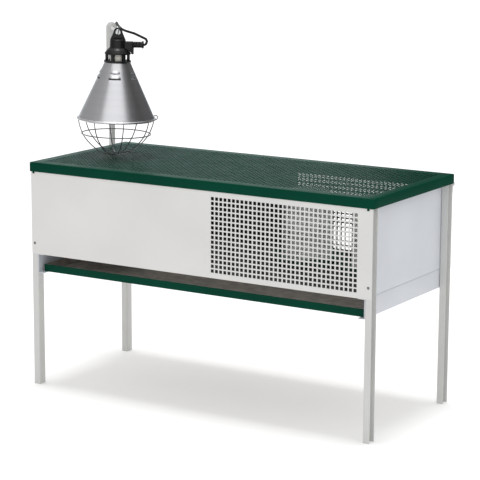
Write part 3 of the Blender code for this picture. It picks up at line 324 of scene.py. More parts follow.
def modifier(piece, kind, **settings):
    # A modifier with these settings, applied
    only(piece)
    step = piece.modifiers.new(kind.lower(), kind)
    for name, value in settings.items():
        setattr(step, name, value)
    bpy.ops.object.modifier_apply(modifier=step.name)


def solidify(piece, thickness, offset=-1.0):
    modifier(piece, "SOLIDIFY", thickness=thickness, offset=offset, use_even_offset=True)


def outward(piece):
    # Merged doubles and faces pointing out
    editMode(piece)
    bpy.ops.mesh.select_all(action="SELECT")
    bpy.ops.mesh.remove_doubles(threshold=samePlace)
    bpy.ops.mesh.normals_make_consistent(inside=False)
    objectMode()


def smooth(piece, angle):
    only(piece)
    bpy.ops.object.shade_smooth_by_angle(angle=math.radians(angle))


def joined(name, pieces):
    only(pieces[0])
    for piece in pieces[1:]:
        piece.select_set(True)
    bpy.ops.object.join()
    pieces[0].name = name
    pieces[0].data.name = name
    return pieces[0]


def dress(piece, body, slotName, *nodes, finish=None):
    # Gives the piece its finish, its body, and the nodes that it stands for
    piece.data.materials.clear()
    piece.data.materials.append(finish or finishes[slotName])
    for face in piece.data.polygons:
        face.material_index = 0
    if body:
        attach(piece, body)
    if nodes:
        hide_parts(*nodes)


def standIn(piece, node, matrix=None, angle=40, finish=None):
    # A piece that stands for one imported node: smoothed, its mesh moved into place, dressed like that node
    smooth(piece, angle)
    if matrix:
        piece.data.transform(matrix)
    dress(piece, bodyOf[node], slotOf[node], node, finish=finish)


def lineInside(piece, direction, finish):
    # A second finish on the faces that look along a direction
    piece.data.materials.append(finish)
    for face in piece.data.polygons:
        if face.normal.dot(Vector(direction)) > 0.9:
            face.material_index = 1


def ringHit(corner, ring):
    radius, height = ring
    return abs(corner.z - height) < samePlace and abs(math.hypot(corner.x, corner.y) - radius) < samePlace


def lathe(name, profile, sides, closed=False):
    # A turned surface: a circle extruded and resized ring by ring down (radius, height) steps
    radius, height = profile[0]
    bpy.ops.mesh.primitive_circle_add(vertices=sides, radius=radius, location=(0, 0, height))
    piece = startPiece(name)
    bpy.ops.mesh.select_all(action="SELECT")
    for nextRadius, nextHeight in profile[1:]:
        extrude((0, 0, nextHeight - height))
        share = nextRadius / radius
        bpy.ops.transform.resize(value=(share, share, 1), center_override=(0, 0, nextHeight))
        radius, height = nextRadius, nextHeight
    if closed:
        first, last = profile[0], profile[-1]
        pickOpenEdges(piece, lambda c: ringHit(c, first) or ringHit(c, last))
        bpy.ops.mesh.bridge_edge_loops()
    objectMode()
    return piece


def capped(piece):
    # Open rings filled, faces pointing out
    editMode(piece)
    pickOpenEdges(piece, lambda c: True)
    bpy.ops.mesh.edge_face_add()
    bpy.ops.mesh.select_all(action="SELECT")
    bpy.ops.mesh.normals_make_consistent(inside=False)
    objectMode()


def turnedSolid(name, profile, sides=96, closed=False):
    # A lathe's surface made solid, through a profile that ends at its start or near the axis
    piece = lathe(name, profile, sides, closed)
    if closed:
        outward(piece)
    else:
        capped(piece)
    return piece


def inMetres(values):
    return tuple(value * mm for value in values)


def scaled(profile, base=0):
    # A profile in millimetres as metres, above a base
    return [(radius * mm, height * mm + base) for radius, height in profile]


def barBlock(name, low, high, width, segments=2):
    # A box between two corners with its edges rounded
    size = Vector(high) - Vector(low)
    bpy.ops.mesh.primitive_cube_add(size=1, location=(Vector(high) + Vector(low)) / 2, scale=size)
    piece = startPiece(name)
    bpy.ops.mesh.select_all(action="SELECT")
    bpy.ops.mesh.bevel(offset=width, segments=segments, affect="EDGES", clamp_overlap=True)
    objectMode()
    return piece


def lineOf(name, corners):
    # A line of edges through these corners, in edit mode: one corner extruded on and on
    bpy.ops.mesh.primitive_plane_add(size=1)
    piece = startPiece(name)
    bpy.ops.mesh.select_mode(type="VERT")
    bpy.ops.mesh.select_all(action="SELECT")
    bpy.ops.mesh.merge(type="CENTER")
    bpy.ops.transform.translate(value=corners[0])
    for before, after in zip(corners, corners[1:]):
        extrude(after - before)
    bpy.ops.mesh.select_all(action="SELECT")
    return piece


def outlinePlate(name, outline, half, width):
    # A plate: its outline in XZ filled, extruded along Y over twice this half, its edges rounded
    piece = lineOf(name, [Vector((x * mm, -half, z * mm)) for x, z in outline])
    bpy.ops.mesh.edge_face_add()
    extrude((0, half * 2, 0))
    objectMode()
    outward(piece)
    editMode(piece)
    roundSharp(piece, width, 2, 0.9, clamped=True)
    objectMode()
    return piece


def wireThrough(name, points, radius, sides):
    # A round wire along points, as a mesh
    bpy.ops.curve.primitive_bezier_curve_add()
    curve = bpy.context.active_object
    curve.name = name
    line = curve.data
    line.splines.clear()
    spline = line.splines.new("POLY")
    spline.points.add(len(points) - 1)
    for point, place in zip(spline.points, points):
        point.co = (*place, 1)
    line.dimensions = "3D"
    line.bevel_depth = radius
    line.bevel_resolution = sides // 2 - 2
    line.use_fill_caps = True
    only(curve)
    bpy.ops.object.convert(target="MESH")
    made = bpy.context.active_object
    made.name = name
    made.matrix_world = Matrix.Identity(4)
    outward(made)
    smooth(made, 60)
    return made


def curveThrough(points, step):
    # Points at even steps along a smooth curve through the given ones
    places = [Vector(point) for point in points]
    places.insert(0, places[0] * 2 - places[1])
    places.append(places[-1] * 2 - places[-2])
    found = [places[1]]
    for a, b, c, d in zip(places, places[1:], places[2:], places[3:]):
        parts = max(1, round((c - b).length / step))
        for index in range(1, parts + 1):
            t = index / parts
            bend = (a * 2 - b * 5 + c * 4 - d) * t ** 2 + (b * 3 - a - c * 3 + d) * t ** 3
            found.append((b * 2 + (c - a) * t + bend) / 2)
    return found


def arc(radius, start, end, steps, centre=(0, 0)):
    # Places at even steps round a circle, from one angle to another
    return [
        (
            centre[0] + radius * math.cos(start + (end - start) * index / steps),
            centre[1] + radius * math.sin(start + (end - start) * index / steps),
        )
        for index in range(steps + 1)
    ]


# Camera, as the photograph was taken

cameraSet = {
    "place": (2.5129, -4.0791, 1.370),
    "yaw": 31.58,
    "pitch": 11.408,
    "roll": 0.259,
    "lens": 143.59,
    "sensor": 36.0,
    "farthest": 40,
}


def makeCamera():
    bpy.ops.object.camera_add(location=Vector(cameraSet["place"]) + cageCentre)
    camera = bpy.context.active_object
    yaw, pitch, roll = (math.radians(cameraSet[key]) for key in ("yaw", "pitch", "roll"))
    ahead = Vector((-math.sin(yaw) * math.cos(pitch), math.cos(yaw) * math.cos(pitch), -math.sin(pitch)))
    right = Vector((math.cos(yaw), math.sin(yaw), 0))
    up = right.cross(ahead)
    rightRolled = right * math.cos(roll) + up * math.sin(roll)
    upRolled = up * math.cos(roll) - right * math.sin(roll)
    camera.rotation_euler = Matrix((rightRolled, upRolled, -ahead)).transposed().to_euler()
    camera.data.lens = cameraSet["lens"]
    camera.data.sensor_width = cameraSet["sensor"]
    camera.data.sensor_fit = "HORIZONTAL"
    camera.data.clip_end = cameraSet["farthest"]
    bpy.context.scene.camera = camera


makeCamera()
print("camera ready")

# Mains lead, one flex from the lamp's gland to the plug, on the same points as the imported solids

cordSet = {
    "radius": 3.25 * mm,
    "sides": 12,
    "length": 2.5,
    "turns": 8,
    "perTurn": 24,
    "pitch": 7.1 * mm,
    "coilHeight": 0.497,
    "step": 0.010,
    "loop": (
        (0.0673, 0.0000, -0.0320), (0.0700, 0.0000, -0.0320), (0.0740, 0.0025, -0.0292),
        (0.0762, 0.0065, -0.0232), (0.0738, 0.0105, -0.0180), (0.0655, 0.0140, -0.0142),
        (0.0545, 0.0170, -0.0094), (0.0430, 0.0200, -0.0044), (0.0330, 0.0240, -0.0020),
        (0.0235, 0.0300, 0.0003), (0.0170, 0.0390, 0.0022), (0.0136, 0.0520, 0.0034),
        (0.0133, 0.0600, 0.0036),
    ),
    "lead": (
        (0.0134, 0.0760, 0.0028), (0.0134, 0.0950, 0.0023), (0.0134, 0.1250, 0.0020),
        (0.0134, 0.1550, 0.0021), (0.0134, 0.1850, 0.0028), (0.0135, 0.2100, 0.0039),
        (0.0137, 0.2300, 0.0043), (0.0139, 0.2430, 0.0008), (0.0135, 0.2515, -0.0085),
        (0.0115, 0.2555, -0.0210), (0.0080, 0.2565, -0.0350), (0.0038, 0.2562, -0.0520),
        (0.0008, 0.2552, -0.0710), (0.0000, 0.2550, -0.0900),
    ),
}


def lengthOf(points):
    return sum((b - a).length for a, b in zip(points, points[1:]))


def windCoil(meanRadius, top):
    # The coil from its top end, in along one layer and out along the other, and the tail down to the plug
    radius, turns, pitch = cordSet["radius"], cordSet["turns"], cordSet["pitch"]
    outer = meanRadius + pitch * turns / 4
    centreY = top.y - outer
    points = [top]
    for index in range(turns * cordSet["perTurn"] + 1):
        turn = index / cordSet["perTurn"]
        inward = min(turn, turns - turn)
        reach = meanRadius + pitch * (turns / 4 - inward)
        climb = min(1, max(0, (turn - turns / 2) * 2 + 1 / 2))  # to the second layer, in half a turn
        angle = math.tau * turn
        points.append(Vector((
            top.x + pitch * climb,
            centreY + reach * math.cos(angle),
            cordSet["coilHeight"] - reach * math.sin(angle),
        )))
    last = points[-1]
    points.append(last - Vector((0, 0, radius * 2)))
    points.append(Vector((last.x, last.y, cordSet["coilHeight"] - outer - radius * 2)))
    return points


def cordPath():
    loop = [lampPlace @ point for point in curveThrough(cordSet["loop"], cordSet["step"])]
    lead = [bracketPlace @ point for point in curveThrough(cordSet["lead"], cordSet["step"])]
    bottom = lead[-1]
    topOfCoil = Vector((bottom.x, bottom.y, cordSet["coilHeight"] + cordSet["radius"] * 2))
    drop = curveThrough([bottom, (bottom + topOfCoil) / 2, topOfCoil], cordSet["step"])[1:-1]
    free = loop + lead + drop
    perRadius = math.tau * cordSet["turns"] + 1
    meanRadius = (cordSet["length"] - lengthOf(free)) / perRadius
    for _ in range(3):
        whole = free + windCoil(meanRadius, topOfCoil)
        meanRadius += (cordSet["length"] - lengthOf(whole)) / perRadius
    return free + windCoil(meanRadius, topOfCoil)


cordPoints = cordPath()
flex = wireThrough("mainsLead", cordPoints, cordSet["radius"], cordSet["sides"])
dress(flex, None, "black_rubber", "cord_loop", "cord_lead", "cord_coil", "cord_tail")
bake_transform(flex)
print("mains lead ready", round(lengthOf(cordPoints), 3))

# Perforated sheets

holePitch = 12 * mm


def punchedSheet(name, low, high, holesLow, columns, rows, hole):
    # A flat sheet in XY with rows of square holes: a grid, its border extruded, its cells inset and cut
    holesHigh = (holesLow[0] + columns * holePitch, holesLow[1] + rows * holePitch)
    middle = ((holesLow[0] + holesHigh[0]) / 2, (holesLow[1] + holesHigh[1]) / 2, 0)
    bpy.ops.mesh.primitive_grid_add(x_subdivisions=columns, y_subdivisions=rows, size=1, location=middle)
    bpy.context.active_object.scale = (columns * holePitch, rows * holePitch, 1)
    piece = startPiece(name)
    for axis in (0, 1):
        for start, end in ((holesHigh[axis], high[axis]), (holesLow[axis], low[axis])):
            pickOpenEdges(piece, lambda c: abs(c[axis] - start) < nearEdge)
            offset = Vector()
            offset[axis] = end - start
            extrude(offset)
    pickFaces(piece, lambda c: holesLow[0] < c.x < holesHigh[0] and holesLow[1] < c.y < holesHigh[1])
    bpy.ops.mesh.inset(thickness=(holePitch - hole) / 2, use_individual=True, use_even_offset=True)
    bpy.ops.mesh.delete(type="FACE")
    return piece


lidSet = {
    "hole": 8 * mm,
    "columns": 79,
    "rows": 31,
    "sheet": 1.0 * mm,
    "rim": 24 * mm,
    "fold": 1.8 * mm,
}


def makeLid():
    # The lid: punched, folded down all round
    columns, rows = lidSet["columns"], lidSet["rows"]
    holesLow = (cageCentre.x - columns * holePitch / 2, cageCentre.y - rows * holePitch / 2)
    piece = punchedSheet("lidSheet", lidLow, lidHigh, holesLow, columns, rows, lidSet["hole"])

    def onEdge(c):
        return min(abs(c[axis] - edge[axis]) for axis in (0, 1) for edge in (lidLow, lidHigh)) < nearEdge

    pickOpenEdges(piece, onEdge)
    extrude((0, 0, -lidSet["rim"]))
    roundSharp(piece, lidSet["fold"], 3)
    objectMode()
    solidify(piece, lidSet["sheet"])
    standIn(piece, "lid", Matrix.Translation((0, 0, lidHigh.z)), 35)


catchSet = {
    "half": 3 * mm,
    "sheet": 0.9 * mm,
    "edge": 0.3 * mm,
    "inLeft": 12 * mm,
    "inRight": 15 * mm,
    "drop": 5 * mm,
    "rise": 0.5 * mm,
}


def makeCatches():
    # The two small catches under the front rim, hooked down over the panel
    rimBottom = lidHigh.z - lidSet["rim"]
    half, edge = catchSet["half"], catchSet["edge"]
    left, right = lidLow.x + catchSet["inLeft"], lidHigh.x - catchSet["inRight"]
    for name, x in (("catchLeft", left), ("catchRight", right)):
        low = (x - half, lidLow.y, rimBottom - catchSet["drop"])
        high = (x + half, lidLow.y + catchSet["sheet"], rimBottom + catchSet["rise"])
        dress(barBlock(name, low, high, edge), "lid", "green_paint")


panelSet = {
    "hole": 8.4 * mm,
    "columns": 34,
    "rows": 16,
    "windowLeft": 51 * mm,
    "windowBottom": 362 * mm,
    "sheet": 0.7 * mm,
    "hem": 1.05 * mm,
    "fold": 0.5 * mm,
}


def makeLongPanel(end, facing):
    # The front or back panel: punched window, a folded hem along the bottom
    low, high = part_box(f"{end}_panel")
    columns, left = panelSet["columns"], panelSet["windowLeft"]
    halfWidth = (high.x - low.x) / 2
    if facing > 0:
        left = -left - columns * holePitch
    piece = punchedSheet(
        f"{end}Panel", (-halfWidth, low.z), (halfWidth, high.z), (left, panelSet["windowBottom"]),
        columns, panelSet["rows"], panelSet["hole"],
    )
    pickOpenEdges(piece, lambda c: abs(c.y - low.z) < nearEdge)
    extrude((0, 0, -panelSet["hem"]))
    roundSharp(piece, panelSet["fold"], 3)
    objectMode()
    solidify(piece, panelSet["sheet"])
    turn = Matrix.Rotation(math.pi if facing > 0 else 0, 4, "Z") @ Matrix.Rotation(math.pi / 2, 4, "X")
    face = high.y if facing > 0 else low.y
    standIn(piece, f"{end}_panel", Matrix.Translation((cageCentre.x, face, 0)) @ turn, 35)
    # Painted shade: the panel's inner face gets the near-black finish
    lineInside(piece, (0, -facing, 0), insideShadePaint)


makeLid()
makeCatches()
makeLongPanel("front", -1)
makeLongPanel("back", 1)
print("perforated sheets ready")

# Floor mesh, welded wires

floorSet = {"wire": 0.9 * mm, "pitch": 12 * mm, "pitchAcross": 6 * mm, "overlap": 1.8, "sides": 6}


def wireRow(name, start, end, count, step):
    # Parallel straight wires: one cylinder, arrayed
    middle = (Vector(start) + Vector(end)) / 2
    along = Vector(end) - Vector(start)
    bpy.ops.mesh.primitive_cylinder_add(
        vertices=floorSet["sides"], radius=floorSet["wire"], depth=along.length, location=middle,
        rotation=along.to_track_quat("Z", "Y").to_euler(),
    )
    piece = startPiece(name)
    objectMode()
    modifier(
        piece, "ARRAY", count=count, use_relative_offset=False, use_constant_offset=True,
        constant_offset_displace=step,
    )
    return piece


def makeFloor():
    low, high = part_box("floor_grid")
    radius, pitch, pitchAcross = (floorSet[key] for key in ("wire", "pitch", "pitchAcross"))
    columns = int((high.x - low.x - 2 * radius) / pitch)
    rows = int((high.y - low.y - 2 * radius) / pitchAcross)
    startX = (low.x + high.x - columns * pitch) / 2
    startY = (low.y + high.y - rows * pitchAcross) / 2
    upper = high.z - radius
    lower = upper - radius * floorSet["overlap"]
    crosswise = wireRow(
        "floorCross", (startX, low.y, upper), (startX, high.y, upper), columns + 1, (pitch, 0, 0)
    )
    lengthwise = wireRow(
        "floorLong", (low.x, startY, lower), (high.x, startY, lower), rows + 1, (0, pitchAcross, 0)
    )
    standIn(joined("floorMesh", [crosswise, lengthwise]), "floor_grid", angle=70)


makeFloor()
print("floor mesh ready")

# Legs and runners, folded channels

channelSet = {"legBend": 2.0 * mm, "legSheet": 1.5 * mm, "runnerBend": 1.8 * mm, "runnerSheet": 1.5 * mm}


def foldedChannel(name, kind, corners, axis, start, end):
    # A sheet channel: a strip through its section's corners, extruded along an axis, bent and thickened
    offset, along = Vector(), Vector()
    offset[axis] = start
    along[axis] = end - start
    piece = lineOf(name, [Vector(corner) + offset for corner in corners])
    extrude(along)
    roundSharp(piece, channelSet[f"{kind}Bend"], 4)
    objectMode()
    solidify(piece, channelSet[f"{kind}Sheet"], 0)
    outward(piece)
    return piece


def makeLegs():
    # Each leg is open outward, its web against the cage
    half = channelSet["legSheet"] / 2
    for end in ("front", "back"):
        for side in ("left", "right"):
            low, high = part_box(f"leg_{end}_{side}")
            outer, web = (low.x, high.x - half) if side == "left" else (high.x, low.x + half)
            front, back = low.y + half, high.y - half
            corners = ((outer, front, 0), (web, front, 0), (web, back, 0), (outer, back, 0))
            leg = foldedChannel(f"leg{end.title()}{side.title()}", "leg", corners, 2, low.z, high.z)
            standIn(leg, f"leg_{end}_{side}", angle=35)


def makeRunners():
    # Each runner is open inward, where the tray's edge runs
    half = channelSet["runnerSheet"] / 2
    for side in ("left", "right"):
        low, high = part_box(f"tray_runner_{side}")
        tip, web = (high.x, low.x + half) if side == "left" else (low.x, high.x - half)
        bottom, top = low.z + half, high.z - half
        corners = ((tip, 0, bottom), (web, 0, bottom), (web, 0, top), (tip, 0, top))
        runner = foldedChannel(f"runner{side.title()}", "runner", corners, 1, low.y, high.y)
        standIn(runner, f"tray_runner_{side}", angle=35, finish=shadedSidePaint)


makeLegs()
makeRunners()
print("legs and runners ready")

# Drinker and feeder: dish and jar, turned from (radius, height) in millimetres

fountSet = {
    "dish": (
        (2, 2.0), (54, 2.0), (56.2, 2.6), (56.5, 4), (56.5, 19), (57, 20), (58, 20), (58.5, 19), (58.5, 7.6),
        (61.2, 7.2), (61.6, 6.4), (61.8, 2.6), (63, 2.0), (81, 2.0), (84, 3.2), (89.4, 22.4), (90, 23.8),
        (91.2, 24), (92, 23.2), (91.8, 22), (86.8, 2), (85.6, 0.4), (84, 0), (70, 0), (69, 1), (40, 1),
        (2, 1),
    ),
    "jar": (
        (2, 186), (16, 185.3), (34, 183), (46, 179.6), (53, 175.6), (57.4, 170.4), (60.2, 164), (61.4, 157),
        (61.5, 150), (61.5, 120), (60.9, 118.4), (60.9, 115.6), (61.5, 114), (61.5, 62), (60.9, 60.4),
        (60.9, 57.6), (61.5, 56), (61.5, 9), (61.9, 8), (61.9, 1), (61.3, 0), (60.0, 0), (59.6, 1), (59.4, 9),
        (59.4, 156), (57.6, 163), (54, 169), (48, 174), (32, 179.6), (2, 183),
    ),
}


def makeFount(kind):
    dishLow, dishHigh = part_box(f"{kind}_dish")
    place = Matrix.Translation(((dishLow.x + dishHigh.x) / 2, (dishLow.y + dishHigh.y) / 2, 0))
    for part in ("dish", "jar"):
        node = f"{kind}_{part}"
        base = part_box(node)[0].z
        standIn(turnedSolid(f"{kind}{part.title()}", scaled(fountSet[part], base)), node, place)


for kind in ("drinker", "feeder"):
    makeFount(kind)
print("drinker and feeder ready")

# Lamp shade: a spun cone with pressed louvres and a rolled rim

shadeSet = {
    "topRadius": 33.0 * mm,
    "rimRadius": 100.0 * mm,
    "top": -78.6 * mm,
    "rim": -225.0 * mm,
    "bead": 3.0 * mm,
    "beadOut": 0.5 * mm,
    "beadUp": 0.2 * mm,
    "beadSides": 14,
    "sheet": 0.8 * mm,
    "sides": 180,
    "louvreAngles": (-102, -30, 42, 114, 186),
    "louvres": ((-103.2, -105.0, 15), (-116.0, -120.0, 18)),  # lips in millimetres, half width in degrees
    "lipShare": 0.45,
    "lipOut": (2.4 * mm, 9 * mm),  # how far, and how far round the lip eases off
    "lipIn": (-1.0 * mm, 7 * mm),
    "rowReach": 0.2 * mm,
    "rows": (  # millimetres under the eye
        78.6, 81, 84, 87, 90, 93, 96, 98.5, 101, 103.2, 105, 106.5, 108.5, 111, 113, 115, 116, 120,
        122, 124, 127, 131, 136, 142, 149, 157, 166, 176, 186, 196, 206, 214, 220, 223.4,
    ),
}


def coneRadius(height):
    share = (shadeSet["top"] - height) / (shadeSet["top"] - shadeSet["rim"])
    return shadeSet["topRadius"] + (shadeSet["rimRadius"] - shadeSet["topRadius"]) * share


def angleFrom(corner, degrees):
    turn = math.atan2(corner.y, corner.x) - math.radians(degrees)
    return abs(math.degrees((turn + math.pi) % math.tau - math.pi))


def pushLip(piece, height, angle, reach, amount, size):
    # Pulls one lip of a louvre out or in along its own direction, easing off around it
    def onLip(corner):
        return abs(corner.co.z - height) < shadeSet["rowReach"] and angleFrom(corner.co, angle) < reach

    pick(piece, "VERT", onLip)
    along = Vector((math.cos(math.radians(angle)), math.sin(math.radians(angle)), 0)) * amount
    bpy.ops.transform.translate(
        value=along, use_proportional_edit=True, use_proportional_connected=True,
        proportional_edit_falloff="SMOOTH", proportional_size=size,
    )


def makeShade():
    profile = [(coneRadius(-height * mm), -height * mm) for height in shadeSet["rows"]]
    shade = lathe("shadeCone", profile, shadeSet["sides"])
    editMode(shade)
    for angle in shadeSet["louvreAngles"]:
        for upper, lower, half in shadeSet["louvres"]:
            pickFaces(shade, lambda c: lower * mm < c.z < upper * mm and angleFrom(c, angle) < half)
            bpy.ops.mesh.delete(type="FACE")
            pushLip(shade, upper * mm, angle, half * shadeSet["lipShare"], *shadeSet["lipOut"])
            pushLip(shade, lower * mm, angle, half * shadeSet["lipShare"], *shadeSet["lipIn"])
    bpy.ops.mesh.select_all(action="SELECT")
    bpy.ops.mesh.normals_make_consistent(inside=False)
    objectMode()
    solidify(shade, shadeSet["sheet"])
    bpy.ops.mesh.primitive_torus_add(
        major_radius=shadeSet["rimRadius"] + shadeSet["beadOut"], minor_radius=shadeSet["bead"],
        major_segments=shadeSet["sides"], minor_segments=shadeSet["beadSides"],
        location=(0, 0, shadeSet["rim"] + shadeSet["beadUp"]),
    )
    bead = startPiece("shadeBead")
    objectMode()
    standIn(joined("lampShade", [shade, bead]), "lamp_shade", lampPlace)


makeShade()
print("shade ready")

# Lampholder: housing, gland, vented collar, socket and bulb; bare lengths are millimetres from the eye

housingSet = {
    "body": (
        (1, -17.6), (13, -17.6), (18.2, -18.6), (20.1, -20.6), (20.5, -23), (20.5, -38), (21.2, -39.8),
        (23, -41.8), (27.4, -45.2), (28.5, -46.2), (28.5, -47), (1, -47),
    ),
    "sides": 72,
    "lugRadius": 11.5,
    "lugSteps": 24,
    "lugFoot": [(-20, -19.5), (-20, -25), (20, -25), (20, -19.5)],
    "lugHalf": 4 * mm,
    "lugEdge": 0.8 * mm,
    "cableBlocks": (
        ("cableBox", (12, -11, -46.9), (41, 11, -24), 1.5 * mm),
        ("cableSkirt", (35, -11, -56.3), (41, 11, -26), 1.2 * mm),
        ("cableWeb", (24, -10.5, -51), (38, 10.5, -40), 1.2 * mm),
    ),
}


def makeHousing():
    # The housing: a turned body, the lug round the eye and the cable box at its side
    parts = [turnedSolid("housingBody", scaled(housingSet["body"]), housingSet["sides"])]
    outline = arc(housingSet["lugRadius"], 0, math.pi, housingSet["lugSteps"]) + housingSet["lugFoot"]
    parts.append(outlinePlate("housingLug", outline, housingSet["lugHalf"], housingSet["lugEdge"]))
    for name, low, high, edge in housingSet["cableBlocks"]:
        parts.append(barBlock(name, inMetres(low), inMetres(high), edge, 3))
    standIn(joined("lampHousing", parts), "lamp_housing", lampPlace)


glandSet = {
    "profile": (
        (1, 0), (7.4, 0), (8, 0.6), (8, 7), (7.5, 7.8), (8, 8.6), (8, 14), (7.5, 14.8), (8, 15.6), (8, 21.8),
        (9.4, 22.4), (10, 23.2), (10, 24.8), (9.2, 26), (1, 26),
    ),
    "sides": 48,
    "place": (41.1, 0, -32),
}


def makeGland():
    gland = turnedSolid("cableGland", scaled(glandSet["profile"]), glandSet["sides"])
    turn = Matrix.Translation(inMetres(glandSet["place"])) @ Matrix.Rotation(math.pi / 2, 4, "Y")
    standIn(gland, "cable_gland", lampPlace @ turn)


collarSet = {
    "rings": {
        "collarTop": (
            (24, -47.1), (28.5, -47.1), (30.2, -49.2), (33.4, -53.2), (34, -54.2), (34, -56.6), (33.5, -57),
            (24, -57),
        ),
        "collarFoot": ((24, -73), (34.8, -73), (35.2, -73.4), (35.2, -77.5), (34.8, -78), (24, -78)),
    },
    "sides": 72,
    "posts": 6,
    "postBlock": ((24.2, -4, -73.4), (31.8, 4, -56.6)),
    "postEdge": 0.8 * mm,
}


def makeCollar():
    # The vented collar: two rings held apart by short posts
    parts = [
        turnedSolid(name, scaled(ring), collarSet["sides"], closed=True)
        for name, ring in collarSet["rings"].items()
    ]
    low, high = (inMetres(corner) for corner in collarSet["postBlock"])
    for index in range(collarSet["posts"]):
        post = barBlock(f"collarPost{index}", low, high, collarSet["postEdge"])
        post.data.transform(Matrix.Rotation(math.tau * index / collarSet["posts"], 4, "Z"))
        parts.append(post)
    standIn(joined("ventedCollar", parts), "vented_collar", lampPlace)


bulbSet = {
    "socket": (
        (1, -47.1), (19.2, -47.1), (20, -47.9), (20, -60), (19.2, -60.8), (20, -61.6), (20, -94.2),
        (19.3, -95), (15.2, -95), (14.6, -94.2), (14.6, -54), (1, -53.6),
    ),
    "socketSides": 64,
    "bulb": (
        (1, -95.2), (15.4, -95.2), (16.4, -97), (16.6, -108), (19, -118), (28, -139), (42, -163),
        (53.4, -178.6), (59, -188.6), (60.4, -196), (60, -205), (56, -211.4), (46, -216.8), (30, -220.4),
        (12, -221.8), (1, -222),
    ),
    "bulbSides": 72,
}


def makeSocketAndBulb():
    socket = turnedSolid("lampSocket", scaled(bulbSet["socket"]), bulbSet["socketSides"])
    standIn(socket, "lamp_socket", lampPlace)
    bulb = turnedSolid("reflectorBulb", scaled(bulbSet["bulb"]), bulbSet["bulbSides"])
    standIn(bulb, "bulb", lampPlace)


screwSet = {
    "profile": ((0.2, 0), (7.2, 0), (7.2, 1.5), (6.9, 2.2), (6.1, 2.7), (5.2, 2.9), (0.2, 3.0)),
    "sides": 48,
    "half": 1.5 * mm,
    "turn": 75,
    "slotBlock": ((-9, -1.1, 1.4), (9, 1.1, 5)),
    "slotEdge": 0.1 * mm,
    "slotReach": 0.2 * mm,
}


def makeEyeScrew():
    # The slotted screw that closes the lug on the arm's end; its slot's floor takes the black finish as painted
    # shade
    low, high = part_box("eye_screw")
    middle = bracketPlace.inverted() @ ((low + high) / 2)
    screw = turnedSolid("eyeScrew", scaled(screwSet["profile"]), screwSet["sides"])
    slotLow, slotHigh = (inMetres(corner) for corner in screwSet["slotBlock"])
    slot = barBlock("slotCutter", slotLow, slotHigh, screwSet["slotEdge"])
    modifier(screw, "BOOLEAN", operation="DIFFERENCE", object=slot)
    only(slot)
    bpy.ops.object.delete()
    slotShadeFaces = [
        face.index for face in screw.data.polygons
        if abs(face.center.z - slotLow[2]) < screwSet["slotReach"] and face.normal.z > 0.9
    ]
    start = Matrix.Translation((middle.x, middle.y + screwSet["half"], middle.z))
    turn = Matrix.Rotation(math.radians(screwSet["turn"]), 4, "Z")
    standIn(screw, "eye_screw", bracketPlace @ start @ Matrix.Rotation(math.pi / 2, 4, "X") @ turn, 35)
    # Painted shade: the slot's floor faces get the black finish
    screw.data.materials.append(finishes["black_plastic"])
    for index in slotShadeFaces:
        screw.data.polygons[index].material_index = 1


plateSet = {"radius": 14.5, "steps": 28, "cut": 3, "half": 1.5 * mm, "edge": 0.4 * mm}


def makeHeadPlate():
    # The plate at the post's top: round above, its lower corners cut
    low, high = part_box("head_plate")
    middle = bracketPlace.inverted() @ ((low + high) / 2)
    half = (high.z - low.z) / 2 / mm
    radius, cut = plateSet["radius"], plateSet["cut"]
    outline = arc(radius, 0, math.pi, plateSet["steps"], (0, half - radius))
    outline += [(-radius, cut - half), (cut - radius, -half), (radius - cut, -half), (radius, cut - half)]
    piece = outlinePlate("headPlate", outline, plateSet["half"], plateSet["edge"])
    standIn(piece, "head_plate", bracketPlace @ Matrix.Translation(middle), 35)


capSet = {"share": 0.95, "core": 0.2 * mm, "steps": 6, "sides": 48}


def makePostCap():
    # The post's cap, domed over nearly all of its radius or height
    low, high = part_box("post_cap")
    place = Matrix.Translation(((low.x + high.x) / 2, (low.y + high.y) / 2, low.z))
    radius, height = (high.x - low.x) / 2, high.z - low.z
    dome = min(height, radius) * capSet["share"]
    profile = [(capSet["core"], 0), (radius, 0)]
    profile += arc(dome, 0, math.pi / 2, capSet["steps"], (radius - dome, height - dome))
    standIn(turnedSolid("postCap", profile, capSet["sides"]), "post_cap", place)


makeHousing()
makeGland()
makeCollar()
makeSocketAndBulb()
makeEyeScrew()
makeHeadPlate()
makePostCap()
print("lampholder ready")

# Wire guard: four loops and a ring, smooth

guardSet = {
    "wire": 1.35 * mm,
    "sides": 10,
    "step": 4 * mm,
    "loops": 4,
    "reach": 100.7 * mm,
    "depth": 96.0 * mm,
    "layer": 2.125 * mm,
    "ringDrop": 40.0 * mm,
    "phase": 6.2,
    "hook": 4.0 * mm,
    "ringSides": 120,
    "shares": (  # of the reach and of the depth
        (1.00, 0.00), (0.96, 0.20), (0.865, 0.44), (0.74, 0.62), (0.56, 0.80), (0.36, 0.93), (0.14, 0.995),
    ),
}


